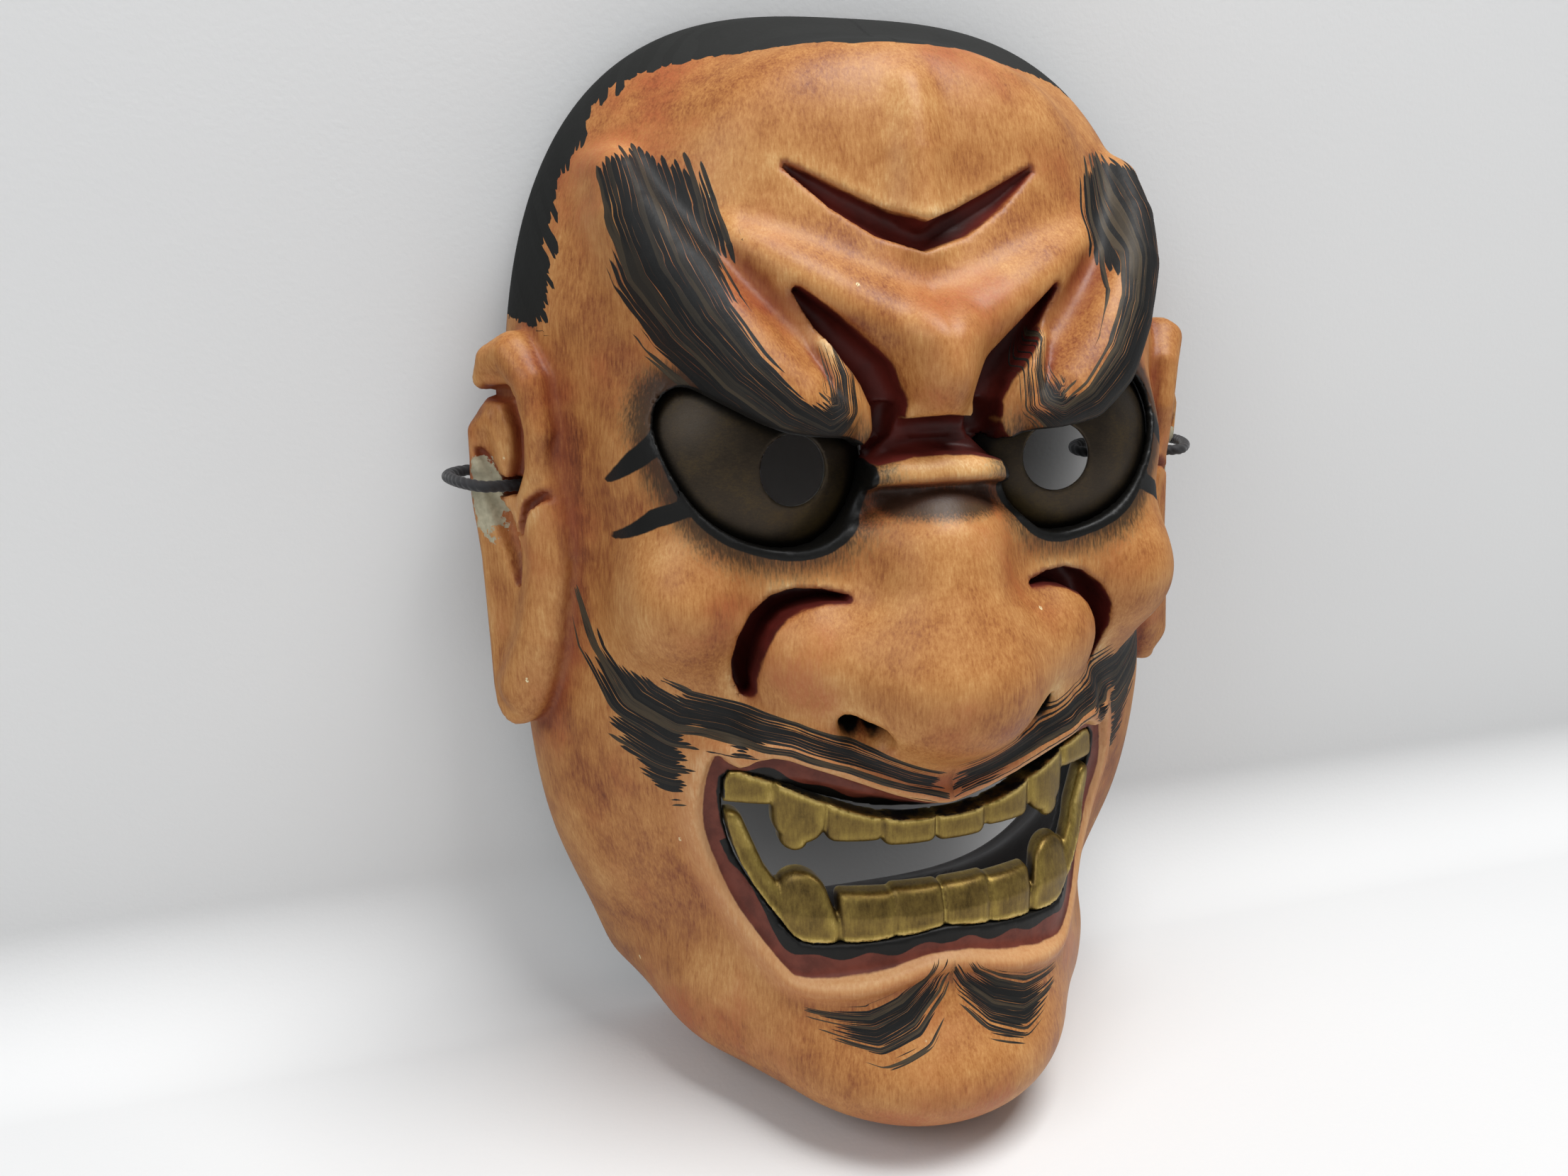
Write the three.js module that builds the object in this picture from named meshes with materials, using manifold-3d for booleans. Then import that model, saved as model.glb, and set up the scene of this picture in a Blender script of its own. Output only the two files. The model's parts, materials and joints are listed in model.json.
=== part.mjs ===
// A carved wooden theatre mask of a scowling, fanged old demon: painted wood face and ears, two domed
// gilt eye plates, two rows of gilt teeth, and the cord that runs from ear to ear behind it.
// Frame (mm): +Z is the crown, the face looks towards -Y, +X is the viewer's right, and y = 0 is the
// flat back rim. The carving is symmetrical, so most shapes are written in (u, z) with u = |x|.
import * as THREE from 'three';
import { mergeVertices } from 'three/addons/utils/BufferGeometryUtils.js';
import Module from 'manifold-3d';

const wasm = await Module();
wasm.setup();

// ---------------------------------------------------------------- driving dimensions
const BROW_HALF_WIDTH = 76;
const CROWN_HEIGHT = 108.5;
const JAW_HALF_WIDTH = 75.5;
const CHIN_DROP = 107;
const FACE_DEPTH = 60.5;
const HOLLOW_HALF_WIDTH = 65;
const HOLLOW_UP = 97;
const HOLLOW_DOWN = 94;
const HOLLOW_DEPTH = 47;
const EYE_CENTRE = [31, -27, 18];
const EYE_RADIUS = 28;
const EYE_PLATE_THICKNESS = 1.2;
const PUPIL_RADIUS = 6.6;
const PUPIL_AIM = [26.6, 19.5];
const PLATE_MARGIN = 2.0;
const FIT_GAP = 0.3;
const LID_THICKNESS = 2.3;
const TEETH_THICKNESS = 5.0;
const CORD_DIAMETER = 2.5;
const CORD_HOLE_RADIUS = 2.3;
const FACE_GRID = 2.5;
const FACE_TRIANGLES = 7600;
const HOLLOW_GRID = 6;
const HOLLOW_TRIANGLES = 800;
const TEETH_GRID = 1.3;
const TEETH_TRIANGLES = 900;

// ---------------------------------------------------------------- outlines in (u, z)
const EYE_OUTLINE = [
  [13.6, 22], [14.8, 14.4], [19.8, 7.4], [26.8, 4.8], [36, 6.7], [43.6, 11.6],
  [48.8, 19.2], [51.2, 27], [49.8, 32.4], [45.5, 34.8], [38.9, 31.5], [29.9, 27], [19, 25.5],
];
const MOUTH_OUTLINE = [
  [0, -45.5], [7.2, -44], [16.5, -39.7], [25.4, -36], [32.9, -34.2], [38.2, -37.8], [42.2, -35.8],
  [44.8, -46.7], [44, -55.1], [40.6, -65.8], [36.4, -73.2], [31.2, -79.8], [27.4, -81.4],
  [14.3, -79.2], [0, -76.4],
];
const GAP_OUTLINE = [
  [0, -49.5], [11, -48.8], [21.5, -45.5], [31, -41.5], [39.5, -39.8], [40.6, -48], [38, -59.5],
  [32, -69], [28, -73.5], [20.5, -73.6], [10, -72.6], [0, -71.2],
];
const EAR_OUTLINE = [
  [6.5, 36.5], [10.5, 42.5], [15.6, 45], [22.2, 41.8], [25.4, 37], [22.8, 32.4], [27, 28], [30, 19.5],
  [30.4, 10], [28.6, -1.6], [27.8, -20.6], [27, -35], [21.6, -39.4], [14.6, -35.4], [9.3, -28],
  [5.6, -17.5], [2.4, -3.7], [2, 8], [4.4, 16.3], [5.2, 24.7],
];

// ---------------------------------------------------------------- carved strokes: [u, z, radius]
const FOREHEAD_CREASE = [[0, 88, 1.5], [0, 76, 3.6], [0, 64.5, 4.4]];
const FOREHEAD_V = [[0, 60.8, 2.6], [8, 63.4, 2.6], [16, 67.8, 2.0], [24.6, 73.6, 0.5]];
const FROWN_RIDGE = [[0, 38, 6.5], [6, 45, 6], [15, 49.5, 5], [26, 55.5, 4], [35, 61, 2]];
const BRIDGE_STRIP = [[0, 30.5, 6], [0, 43, 7]];
const FROWN_FURROW = [
  [25.6, 51.6, 0.6], [20.6, 46, 2], [16.2, 41, 2.9], [12, 36.6, 3.3], [9.8, 31.6, 3.2],
  [10, 26.6, 2.8], [13, 21.8, 1.2],
];
const BROW = [
  [54, 74, 4], [52.5, 66, 6], [48.5, 57, 7.6], [42.5, 47.5, 8.4], [35.5, 39.2, 8.2],
  [28.5, 33, 7.4], [22.6, 29.2, 5.6], [19.6, 31.2, 3.6], [19.2, 36.5, 2.6], [20.4, 41.5, 1.4],
];
const ROOT_BAND = [[0, 25.6, 3.6], [6, 25, 3.4], [12.5, 22.6, 2.4]];
const ROOT_DIP = [[0, 14.5, 4], [10, 13.5, 4], [16, 12, 2]];
const ROOT_BAR = [[0, 19.4, 2.7], [8, 18.8, 2.5], [13.5, 17.4, 1.6]];
const CHEEK_CRESCENT = [
  [18.6, -3.9, 0.5], [23, -3.5, 1.1], [27.4, -3.9, 1.7], [31.2, -5.3, 2.1], [34.3, -7.9, 2.4],
  [36.3, -11.6, 2.5], [37.1, -15.6, 2.3], [37, -19.4, 1.8], [36.3, -22.2, 1.3],
];
const LIP_FOLD = [
  [0, -40, 8.4], [13, -36.4, 8.4], [25, -32.2, 7.6], [33, -31, 5.6], [37.4, -33.6, 3.8],
  [38.2, -37, 2],
];

// Ear strokes lie in the ear's own plane: [s, z, radius], s running outwards and back from its front edge.
const EAR_ORIGIN = [67, -28.5];
const EAR_ALONG = [0.595, 0.804];
const EAR_OUT = [0.804, -0.595];
const EAR_THICKNESS = 10;
const EAR_HELIX = [
  [23.6, 35.4, 2.2], [20.4, 39, 3.3], [14.4, 40.2, 3.9], [8.8, 35, 3.7], [6.9, 25.4, 3.3],
  [8.4, 17.5, 2.7], [11.6, 12.4, 1.9], [15, 8.6, 0.8],
];
const EAR_ANTIHELIX = [
  [25.6, 17, 2.6], [25, 24.4, 2.9], [21, 27.4, 2.4], [18.4, 22.6, 1.9], [17.6, 17, 1.3],
];
const EAR_LOBE = [[8.9, 10, 5], [8.5, -2.7, 5.4], [12, -17.5, 6.4], [18.5, -29.6, 6.6]];
const EAR_CONCHA = [
  [21.4, 32.6, 1.4], [16, 32.4, 2.1], [12.8, 26.4, 2.6], [13, 19.4, 2.4], [15.6, 13.6, 1.7],
];
const EAR_LOWER_HOLLOW = [[23.4, 12, 1.6], [19, 6.4, 3.2], [16.4, 0.2, 2.6], [15.4, -6, 1.1]];
const EAR_FOLD = [[24, 20.6, 1], [21.6, 16.6, 1.8], [21, 13.4, 1.5]];
const EAR_TONGUE_EDGE = [[1.5, 12.8, 0.6], [6.5, 12.6, 1], [10.6, 10, 1.1], [13.4, 5, 1.1]];
const EAR_VALLEY = [[64, 42, 1], [63, 26, 3], [62.5, 0, 3.4], [64.5, -22, 3], [70, -38, 1]];
const CORD_HOLE_OUTER = [83.8, -15.6, 14];
const CORD_HOLE_INNER = [58, -4.4, 13];

// ---------------------------------------------------------------- signed distances
const hypot = Math.hypot;
const clamp = (value, low, high) => Math.min(Math.max(value, low), high);

function smoothMin(a, b, k) {
  const h = Math.max(k - Math.abs(a - b), 0) / k;
  return Math.min(a, b) - (h * h * k) / 4;
}

function smoothMax(a, b, k) {
  return -smoothMin(-a, -b, k);
}

function polygonDistance(points, u, z) {
  let best = Infinity;
  let inside = false;
  for (let i = 0, j = points.length - 1; i < points.length; j = i, i += 1) {
    const [ax, az] = points[j];
    const [bx, bz] = points[i];
    const ex = bx - ax;
    const ez = bz - az;
    const t = clamp(((u - ax) * ex + (z - az) * ez) / (ex * ex + ez * ez), 0, 1);
    best = Math.min(best, hypot(u - ax - t * ex, z - az - t * ez));
    if (az > z !== bz > z && u < ax + ((z - az) / (bz - az)) * ex) {
      inside = !inside;
    }
  }
  return inside ? -best : best;
}

// A stroke is a round bead laid along a path on a surface: `lift` raises its centre above the
// surface, and `reach` stretches it straight down into the wood, for a deep cut.
function strokeDistance(path, u, z, surface, lift, reach) {
  const above = surface - lift;
  const height = above < 0 ? Math.min(above + reach, 0) : above;
  let best = Infinity;
  for (let i = 1; i < path.length; i += 1) {
    const [ax, az, ar] = path[i - 1];
    const [bx, bz, br] = path[i];
    const ex = bx - ax;
    const ez = bz - az;
    const t = clamp(((u - ax) * ex + (z - az) * ez) / (ex * ex + ez * ez), 0, 1);
    const flat = hypot(u - ax - t * ex, z - az - t * ez);
    best = Math.min(best, hypot(flat, height) - ar - t * (br - ar));
  }
  return best;
}

function ball(centre, radii, u, y, z) {
  const a = (u - centre[0]) / radii[0];
  const b = (y - centre[1]) / radii[1];
  const c = (z - centre[2]) / radii[2];
  const scale = hypot(a, b, c);
  const steep = hypot(a / radii[0], b / radii[1], c / radii[2]);
  return steep < 1e-9 ? -Math.min(...radii) : (scale * (scale - 1)) / steep;
}

function taper(start, end, startRadius, endRadius, u, y, z) {
  const e = [end[0] - start[0], end[1] - start[1], end[2] - start[2]];
  const q = [u - start[0], y - start[1], z - start[2]];
  const squared = e[0] * e[0] + e[1] * e[1] + e[2] * e[2];
  const t = clamp((q[0] * e[0] + q[1] * e[1] + q[2] * e[2]) / squared, 0, 1);
  const radius = startRadius + t * (endRadius - startRadius);
  return hypot(q[0] - t * e[0], q[1] - t * e[1], q[2] - t * e[2]) - radius;
}

// A shell-shaped dome over a squared-off oval outline, with its rim in the plane y = 0.
function dome(halfWidth, up, halfWidthLow, down, depth, u, y, z) {
  const upper = z >= 0;
  const power = upper ? 2.95 : 3.5;
  const a = u / (upper ? halfWidth : halfWidthLow);
  const c = Math.abs(z) / (upper ? up : down);
  const gauge = Math.pow(Math.pow(a, power) + Math.pow(c, power), 1 / power);
  const front = Math.max(-y, 0) / depth;
  const field = Math.pow(gauge, 2.2) + Math.pow(front, 1.6) - 1;
  let slopeU = 0;
  let slopeZ = 0;
  if (gauge > 0.01) {
    const radial = 2.2 * Math.pow(gauge, 1.2) * Math.pow(gauge, 1 - power);
    slopeU = (radial * Math.pow(a, power - 1)) / (upper ? halfWidth : halfWidthLow);
    slopeZ = (radial * Math.pow(c, power - 1)) / (upper ? up : down);
  }
  const slopeY = (1.6 * Math.pow(Math.max(front, 0.02), 0.6)) / depth;
  return field / hypot(slopeU, slopeY, slopeZ);
}

// A ball squared off towards a box; at power 2 it would be a plain ellipsoid.
function squaredBall(centre, radii, power, u, y, z) {
  const a = [u / radii[0], Math.abs(y - centre[1]) / radii[1], Math.abs(z - centre[2]) / radii[2]];
  const gauge = (a[0] ** power + a[1] ** power + a[2] ** power) ** (1 / power);
  if (gauge < 0.2) {
    return -20;
  }
  const grades = a.map((value, i) => value ** (power - 1) / radii[i]);
  return ((gauge - 1) * gauge ** (power - 1)) / hypot(...grades);
}

function earDistance(u, y, z) {
  const s = (u - EAR_ORIGIN[0]) * EAR_ALONG[0] + (y - EAR_ORIGIN[1]) * EAR_ALONG[1];
  const n = (u - EAR_ORIGIN[0]) * EAR_OUT[0] + (y - EAR_ORIGIN[1]) * EAR_OUT[1];
  const outline = polygonDistance(EAR_OUTLINE, s, z);
  if (outline > 12 || Math.abs(n) > 24) {
    return Math.max(outline, Math.abs(n) - 12);
  }
  let shape = smoothMax(outline, Math.abs(n + EAR_THICKNESS / 2 + 0.5) - EAR_THICKNESS / 2, 3);
  shape = smoothMin(shape, strokeDistance(EAR_HELIX, s, z, n, -1.8, 3), 1);
  shape = smoothMin(shape, strokeDistance(EAR_ANTIHELIX, s, z, n, -1.6, 3), 1.2);
  shape = smoothMin(shape, strokeDistance(EAR_LOBE, s, z, n, -4.4, 3), 2);
  shape = smoothMax(shape, -strokeDistance(EAR_CONCHA, s, z, n, 0, 3), 1.2);
  shape = smoothMax(shape, -strokeDistance(EAR_LOWER_HOLLOW, s, z, n, 0.4, 1.6), 0.8);
  shape = smoothMax(shape, -strokeDistance(EAR_FOLD, s, z, n, 0.4, 0.8), 0.8);
  return smoothMax(shape, -strokeDistance(EAR_TONGUE_EDGE, s, z, n, 0, 1), 0.6);
}

function teethFront(u, z) {
  const lean = clamp((-56 - z) / 12, 0, 1);
  return -60.5 - 5 * lean + (0.0078 + 0.001 * lean) * u * u;
}

function faceDistance(x, y, z) {
  const u = Math.abs(x);
  let d = dome(BROW_HALF_WIDTH, CROWN_HEIGHT, JAW_HALF_WIDTH, CHIN_DROP, FACE_DEPTH, u, y, z);
  if (d > 45) {
    return d;
  }
  d = smoothMin(d, ball([0, -30, 80], [33, 13, 17], u, y, z), 14);
  d = smoothMin(d, ball([0, -46, -100.9], [32.7, 31.8, 17.8], u, y, z), 12);
  d = smoothMin(d, squaredBall([0, -10.9, -97.2], [50, 41, 17.9], 3, u, y, z), 8);
  d = smoothMin(d, squaredBall([0, -10, -81.9], [60.9 + 0.44 * y, 56.8, 31.4], 4, u, y, z), 9);
  d = smoothMin(d, strokeDistance(FOREHEAD_CREASE, u, z, d, -1, 0), 6);
  d = smoothMin(d, strokeDistance(FROWN_RIDGE, u, z, d, -0.5, 0), 5);
  d = smoothMin(d, strokeDistance(BRIDGE_STRIP, u, z, d, -3, 0), 4);
  const eyeBall = hypot(u - EYE_CENTRE[0], y - EYE_CENTRE[1], z - EYE_CENTRE[2]) - EYE_RADIUS;
  d = smoothMin(d, eyeBall - LID_THICKNESS, 4);
  d = smoothMin(d, ball([44.5, -40, -5.5], [14.8, 18.8, 15], u, y, z), 9);
  d = smoothMin(d, strokeDistance(LIP_FOLD, u, z, d, 0, 0), 4);
  d = smoothMax(d, -strokeDistance(ROOT_DIP, u, z, d, 0, 2), 5);
  const bridge = taper([0, -48, 13], [0, -55.5, 1], 10, 13.5, u, y, z);
  const tip = taper([0, -55.5, 1], [0, -64.6, -20.5], 13.8, 15, u, y, z);
  const wing = taper([8, -62.5, -20], [22.5, -53.5, -16], 11, 12.4, u, y, z);
  d = smoothMin(d, smoothMin(smoothMin(bridge, tip, 4), wing, 9), 6);
  d = smoothMin(d, strokeDistance(BROW, u, z, d, 1, 0), 5);
  d = smoothMax(d, -strokeDistance(ROOT_BAND, u, z, d, 0, 2.2), 1);
  d = smoothMin(d, strokeDistance(ROOT_BAR, u, z, d, 0, 0), 1.5);
  d = smoothMax(d, -strokeDistance(FROWN_FURROW, u, z, d, 0, 3), 1);
  d = smoothMax(d, -strokeDistance(FOREHEAD_V, u, z, d, 0, 1), 0.8);
  d = smoothMax(d, -strokeDistance(CHEEK_CRESCENT, u, z, d, 0, 5), 0.8);
  const lips = polygonDistance(MOUTH_OUTLINE_WHOLE, u, z);
  d = smoothMin(d, hypot(lips - 1.5, d) - 1.5, 2.4);
  const gums = teethFront(u, z) - 0.6 - y;
  d = smoothMax(d, -smoothMax(lips - 0.4 * d, -gums, 2), 1);
  d = smoothMax(d, -taper([15.4, -68, -28.8], [15, -56, -21], 3.3, 2.2, u, y, z), 1.5);
  d = smoothMax(d, -taper([20, -66.5, -28.2], [18.6, -56, -21], 3.1, 2.2, u, y, z), 1.5);
  d = smoothMax(d, -strokeDistance(EAR_VALLEY, u, z, d, 2, 0), 5);
  d = smoothMin(d, earDistance(u, y, z), 1.2);
  return d;
}

function mirrorOutline(half) {
  const left = half.filter(([u]) => u > 0).map(([u, z]) => [-u, z]).reverse();
  return [...half, ...left];
}

function hollowDistance(x, y, z) {
  const u = Math.abs(x);
  const shell = dome(HOLLOW_HALF_WIDTH, HOLLOW_UP, HOLLOW_HALF_WIDTH - 1, HOLLOW_DOWN, HOLLOW_DEPTH, u, y, z);
  const jaw = ball([0, -24, -64], [46, 28, 33], u, y, z);
  return smoothMin(shell, jaw, 6);
}

// ---------------------------------------------------------------- surface of a signed distance
function gridLines(low, high, step) {
  const count = Math.ceil((high - low) / step);
  return Array.from({ length: count + 1 }, (_, i) => low + ((high - low) * i) / count);
}

// Where the four corners of a grid square alternate between wood and air, the faintest one is swapped,
// so that the surface never touches itself along an edge.
function settleCorners(values, counts, at) {
  const turns = [[0, 1], [1, 2], [0, 2]];
  let swapped = true;
  for (let pass = 0; swapped && pass < 12; pass += 1) {
    swapped = false;
    for (let i = 0; i + 1 < counts[0]; i += 1) {
      for (let j = 0; j + 1 < counts[1]; j += 1) {
        for (let k = 0; k + 1 < counts[2]; k += 1) {
          for (const [p, q] of turns) {
            const step = [0, 1, 2].map((m) => [m === p ? 1 : 0, m === q ? 1 : 0]);
            const corner = (s, t) => at(i + step[0][0] * s + step[0][1] * t,
              j + step[1][0] * s + step[1][1] * t, k + step[2][0] * s + step[2][1] * t);
            const square = [corner(0, 0), corner(1, 0), corner(1, 1), corner(0, 1)];
            const signs = square.map((c) => values[c] < 0);
            if (signs[0] === signs[2] && signs[1] === signs[3] && signs[0] !== signs[1]) {
              const sizes = square.map((c) => Math.abs(values[c]));
              const faint = square[sizes.indexOf(Math.min(...sizes))];
              values[faint] = values[faint] < 0 ? 0.01 : -0.01;
              swapped = true;
            }
          }
        }
      }
    }
  }
}

// Surface nets: one vertex in each grid cell that the surface crosses, one quad round each crossed edge.
function surfaceOf(distance, low, high, step) {
  const axes = [0, 1, 2].map((i) => gridLines(low[i], high[i], step));
  const [nx, ny, nz] = axes.map((axis) => axis.length);
  const at = (i, j, k) => (i * ny + j) * nz + k;
  const values = new Float64Array(nx * ny * nz);
  for (let i = 0; i < nx; i += 1) {
    for (let j = 0; j < ny; j += 1) {
      for (let k = 0; k < nz; k += 1) {
        values[at(i, j, k)] = distance(axes[0][i], axes[1][j], axes[2][k]);
      }
    }
  }
  settleCorners(values, [nx, ny, nz], at);
  const cellVertex = new Int32Array(nx * ny * nz).fill(-1);
  const positions = [];
  const indices = [];
  const corners = [];
  for (let corner = 0; corner < 8; corner += 1) {
    corners.push([corner & 1, (corner >> 1) & 1, (corner >> 2) & 1]);
  }
  const edges = [];
  for (let a = 0; a < 8; a += 1) {
    for (const bit of [1, 2, 4]) {
      if (!(a & bit)) {
        edges.push([a, a | bit]);
      }
    }
  }
  for (let i = 0; i + 1 < nx; i += 1) {
    for (let j = 0; j + 1 < ny; j += 1) {
      for (let k = 0; k + 1 < nz; k += 1) {
        const sum = [0, 0, 0];
        let crossings = 0;
        for (const [a, b] of edges) {
          const p = corners[a];
          const q = corners[b];
          const va = values[at(i + p[0], j + p[1], k + p[2])];
          const vb = values[at(i + q[0], j + q[1], k + q[2])];
          if (va < 0 !== vb < 0) {
            const t = va / (va - vb);
            const index = [i, j, k];
            for (let m = 0; m < 3; m += 1) {
              const start = axes[m][index[m] + p[m]];
              sum[m] += start + t * (axes[m][index[m] + q[m]] - start);
            }
            crossings += 1;
          }
        }
        if (crossings) {
          cellVertex[at(i, j, k)] = positions.length / 3;
          positions.push(sum[0] / crossings, sum[1] / crossings, sum[2] / crossings);
        }
      }
    }
  }
  const quad = (a, b, c, d, flip) => {
    indices.push(...(flip ? [a, c, b, a, d, c] : [a, b, c, a, c, d]));
  };
  for (let i = 1; i + 1 < nx; i += 1) {
    for (let j = 1; j + 1 < ny; j += 1) {
      for (let k = 1; k + 1 < nz; k += 1) {
        const here = values[at(i, j, k)] < 0;
        const cell = (di, dj, dk) => cellVertex[at(i - di, j - dj, k - dk)];
        if (here !== values[at(i + 1, j, k)] < 0) {
          quad(cell(0, 1, 1), cell(0, 0, 1), cell(0, 0, 0), cell(0, 1, 0), !here);
        }
        if (here !== values[at(i, j + 1, k)] < 0) {
          quad(cell(1, 0, 1), cell(1, 0, 0), cell(0, 0, 0), cell(0, 0, 1), !here);
        }
        if (here !== values[at(i, j, k + 1)] < 0) {
          quad(cell(1, 1, 0), cell(0, 1, 0), cell(0, 0, 0), cell(1, 0, 0), !here);
        }
      }
    }
  }
  const geometry = new THREE.BufferGeometry();
  geometry.setAttribute('position', new THREE.Float32BufferAttribute(positions, 3));
  geometry.setIndex(indices);
  return geometry;
}

// Quadric error of each vertex: the summed squared distance to the planes of the faces round it.
function planeQuadric(a, b, c) {
  const normal = new THREE.Vector3().subVectors(b, a).cross(new THREE.Vector3().subVectors(c, a));
  const area = normal.length();
  normal.divideScalar(area || 1);
  const plane = [normal.x, normal.y, normal.z, -normal.dot(a)];
  const quadric = [];
  for (let i = 0; i < 4; i += 1) {
    for (let j = i; j < 4; j += 1) {
      quadric.push(plane[i] * plane[j] * area);
    }
  }
  return quadric;
}

function quadricError(q, p) {
  return q[0] * p.x * p.x + 2 * q[1] * p.x * p.y + 2 * q[2] * p.x * p.z + 2 * q[3] * p.x
    + q[4] * p.y * p.y + 2 * q[5] * p.y * p.z + 2 * q[6] * p.y
    + q[7] * p.z * p.z + 2 * q[8] * p.z + q[9];
}

class Heap {
  constructor() {
    this.items = [];
  }

  push(item) {
    const { items } = this;
    items.push(item);
    let i = items.length - 1;
    while (i > 0) {
      const parent = (i - 1) >> 1;
      if (items[parent].cost <= items[i].cost) {
        break;
      }
      [items[parent], items[i]] = [items[i], items[parent]];
      i = parent;
    }
  }

  pop() {
    const { items } = this;
    const top = items[0];
    const last = items.pop();
    if (items.length) {
      items[0] = last;
      let i = 0;
      for (;;) {
        const left = 2 * i + 1;
        const right = left + 1;
        let least = i;
        if (left < items.length && items[left].cost < items[least].cost) {
          least = left;
        }
        if (right < items.length && items[right].cost < items[least].cost) {
          least = right;
        }
        if (least === i) {
          break;
        }
        [items[least], items[i]] = [items[i], items[least]];
        i = least;
      }
    }
    return top;
  }
}

// Edge collapse: flat stretches get large triangles and the carved edges keep small ones.
function simplified(geometry, wanted) {
  const source = geometry.attributes.position;
  const points = [];
  for (let i = 0; i < source.count; i += 1) {
    points.push(new THREE.Vector3().fromBufferAttribute(source, i));
  }
  const faces = [];
  const around = points.map(() => new Set());
  const quadrics = points.map(() => new Array(10).fill(0));
  const stamps = new Int32Array(points.length);
  for (let i = 0; i < geometry.index.count; i += 3) {
    const face = [0, 1, 2].map((m) => geometry.index.getX(i + m));
    const quadric = planeQuadric(...face.map((v) => points[v]));
    for (const v of face) {
      around[v].add(faces.length);
      quadric.forEach((value, m) => {
        quadrics[v][m] += value;
      });
    }
    faces.push(face);
  }
  const neighbours = (v) => {
    const found = new Set();
    for (const f of around[v]) {
      for (const w of faces[f]) {
        if (w !== v) {
          found.add(w);
        }
      }
    }
    return found;
  };
  const heap = new Heap();
  const offer = (a, b) => {
    const sum = quadrics[a].map((value, m) => value + quadrics[b][m]);
    const middle = new THREE.Vector3().addVectors(points[a], points[b]).multiplyScalar(0.5);
    const choices = [middle, points[a].clone(), points[b].clone()];
    const errors = choices.map((p) => quadricError(sum, p));
    const best = errors.indexOf(Math.min(...errors));
    const cost = errors[best] + 0.0006 * points[a].distanceToSquared(points[b]) ** 2;
    heap.push({ cost, a, b, spot: choices[best], sum, stampA: stamps[a], stampB: stamps[b] });
  };
  const flips = (v, other, spot) => {
    for (const f of around[v]) {
      if (!faces[f].includes(other)) {
        const before = faces[f].map((w) => points[w]);
        const after = faces[f].map((w) => (w === v ? spot : points[w]));
        const oldNormal = new THREE.Triangle(...before).getNormal(new THREE.Vector3());
        const newNormal = new THREE.Triangle(...after).getNormal(new THREE.Vector3());
        if (oldNormal.dot(newNormal) < 0.3) {
          return true;
        }
      }
    }
    return false;
  };
  points.forEach((_, a) => neighbours(a).forEach((b) => {
    if (a < b) {
      offer(a, b);
    }
  }));
  let count = faces.length;
  while (count > wanted && heap.items.length) {
    const { a, b, spot, sum, stampA, stampB } = heap.pop();
    if (stamps[a] === stampA && stamps[b] === stampB && around[a].size && around[b].size) {
      const near = neighbours(b);
      const shared = [...neighbours(a)].filter((v) => near.has(v));
      const gone = [...around[a]].filter((f) => around[b].has(f));
      if (shared.length === 2 && gone.length === 2 && !flips(a, b, spot) && !flips(b, a, spot)) {
        for (const f of gone) {
          faces[f].forEach((v) => around[v].delete(f));
          faces[f] = null;
        }
        for (const f of around[b]) {
          faces[f] = faces[f].map((v) => (v === b ? a : v));
          around[a].add(f);
        }
        around[b].clear();
        points[a] = spot;
        quadrics[a] = sum;
        stamps[a] += 1;
        stamps[b] += 1;
        count -= 2;
        neighbours(a).forEach((v) => offer(a, v));
      }
    }
  }
  const used = new Map();
  const positions = [];
  const indices = [];
  for (const face of faces.filter(Boolean)) {
    for (const v of face) {
      if (!used.has(v)) {
        used.set(v, used.size);
        positions.push(...points[v].toArray());
      }
      indices.push(used.get(v));
    }
  }
  const result = new THREE.BufferGeometry();
  result.setAttribute('position', new THREE.Float32BufferAttribute(positions, 3));
  result.setIndex(indices);
  return result;
}

// ---------------------------------------------------------------- joins and cuts
function solidOf(geometry) {
  const bare = geometry.clone();
  for (const name of Object.keys(bare.attributes)) {
    if (name !== 'position') {
      bare.deleteAttribute(name);
    }
  }
  const merged = mergeVertices(bare, 1e-4);
  return new wasm.Manifold(new wasm.Mesh({
    numProp: 3,
    vertProperties: Float32Array.from(merged.attributes.position.array),
    triVerts: Uint32Array.from(merged.index.array),
  }));
}

function geometryOf(solid) {
  const mesh = solid.getMesh();
  const geometry = new THREE.BufferGeometry();
  geometry.setAttribute('position', new THREE.BufferAttribute(Float32Array.from(mesh.vertProperties), 3));
  geometry.setIndex(new THREE.BufferAttribute(Uint32Array.from(mesh.triVerts), 1));
  geometry.computeVertexNormals();
  return geometry;
}

// An outline in (x, z) pushed along Y from `front` to `back`.
function prism(outline, front, back) {
  const shape = new THREE.Shape(outline.map(([x, z]) => new THREE.Vector2(x, z)));
  const geometry = new THREE.ExtrudeGeometry(shape, { depth: back - front, bevelEnabled: false, steps: 1 });
  geometry.rotateX(Math.PI / 2);
  geometry.translate(0, back, 0);
  return solidOf(geometry);
}

function insetOutline(outline, amount) {
  return outline.map(([u, z], i) => {
    const [pu, pz] = outline[(i + outline.length - 1) % outline.length];
    const [nu, nz] = outline[(i + 1) % outline.length];
    const length = hypot(nu - pu, nz - pz);
    return [u + (amount * (pz - nz)) / length, z + (amount * (nu - pu)) / length];
  });
}

function sphere(centre, radius, columns, rows) {
  const geometry = new THREE.SphereGeometry(radius, columns, rows);
  geometry.translate(...centre);
  return solidOf(geometry);
}

function box(low, high) {
  const geometry = new THREE.BoxGeometry(high[0] - low[0], high[1] - low[1], high[2] - low[2]);
  geometry.translate((high[0] + low[0]) / 2, (high[1] + low[1]) / 2, (high[2] + low[2]) / 2);
  return solidOf(geometry);
}

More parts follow.
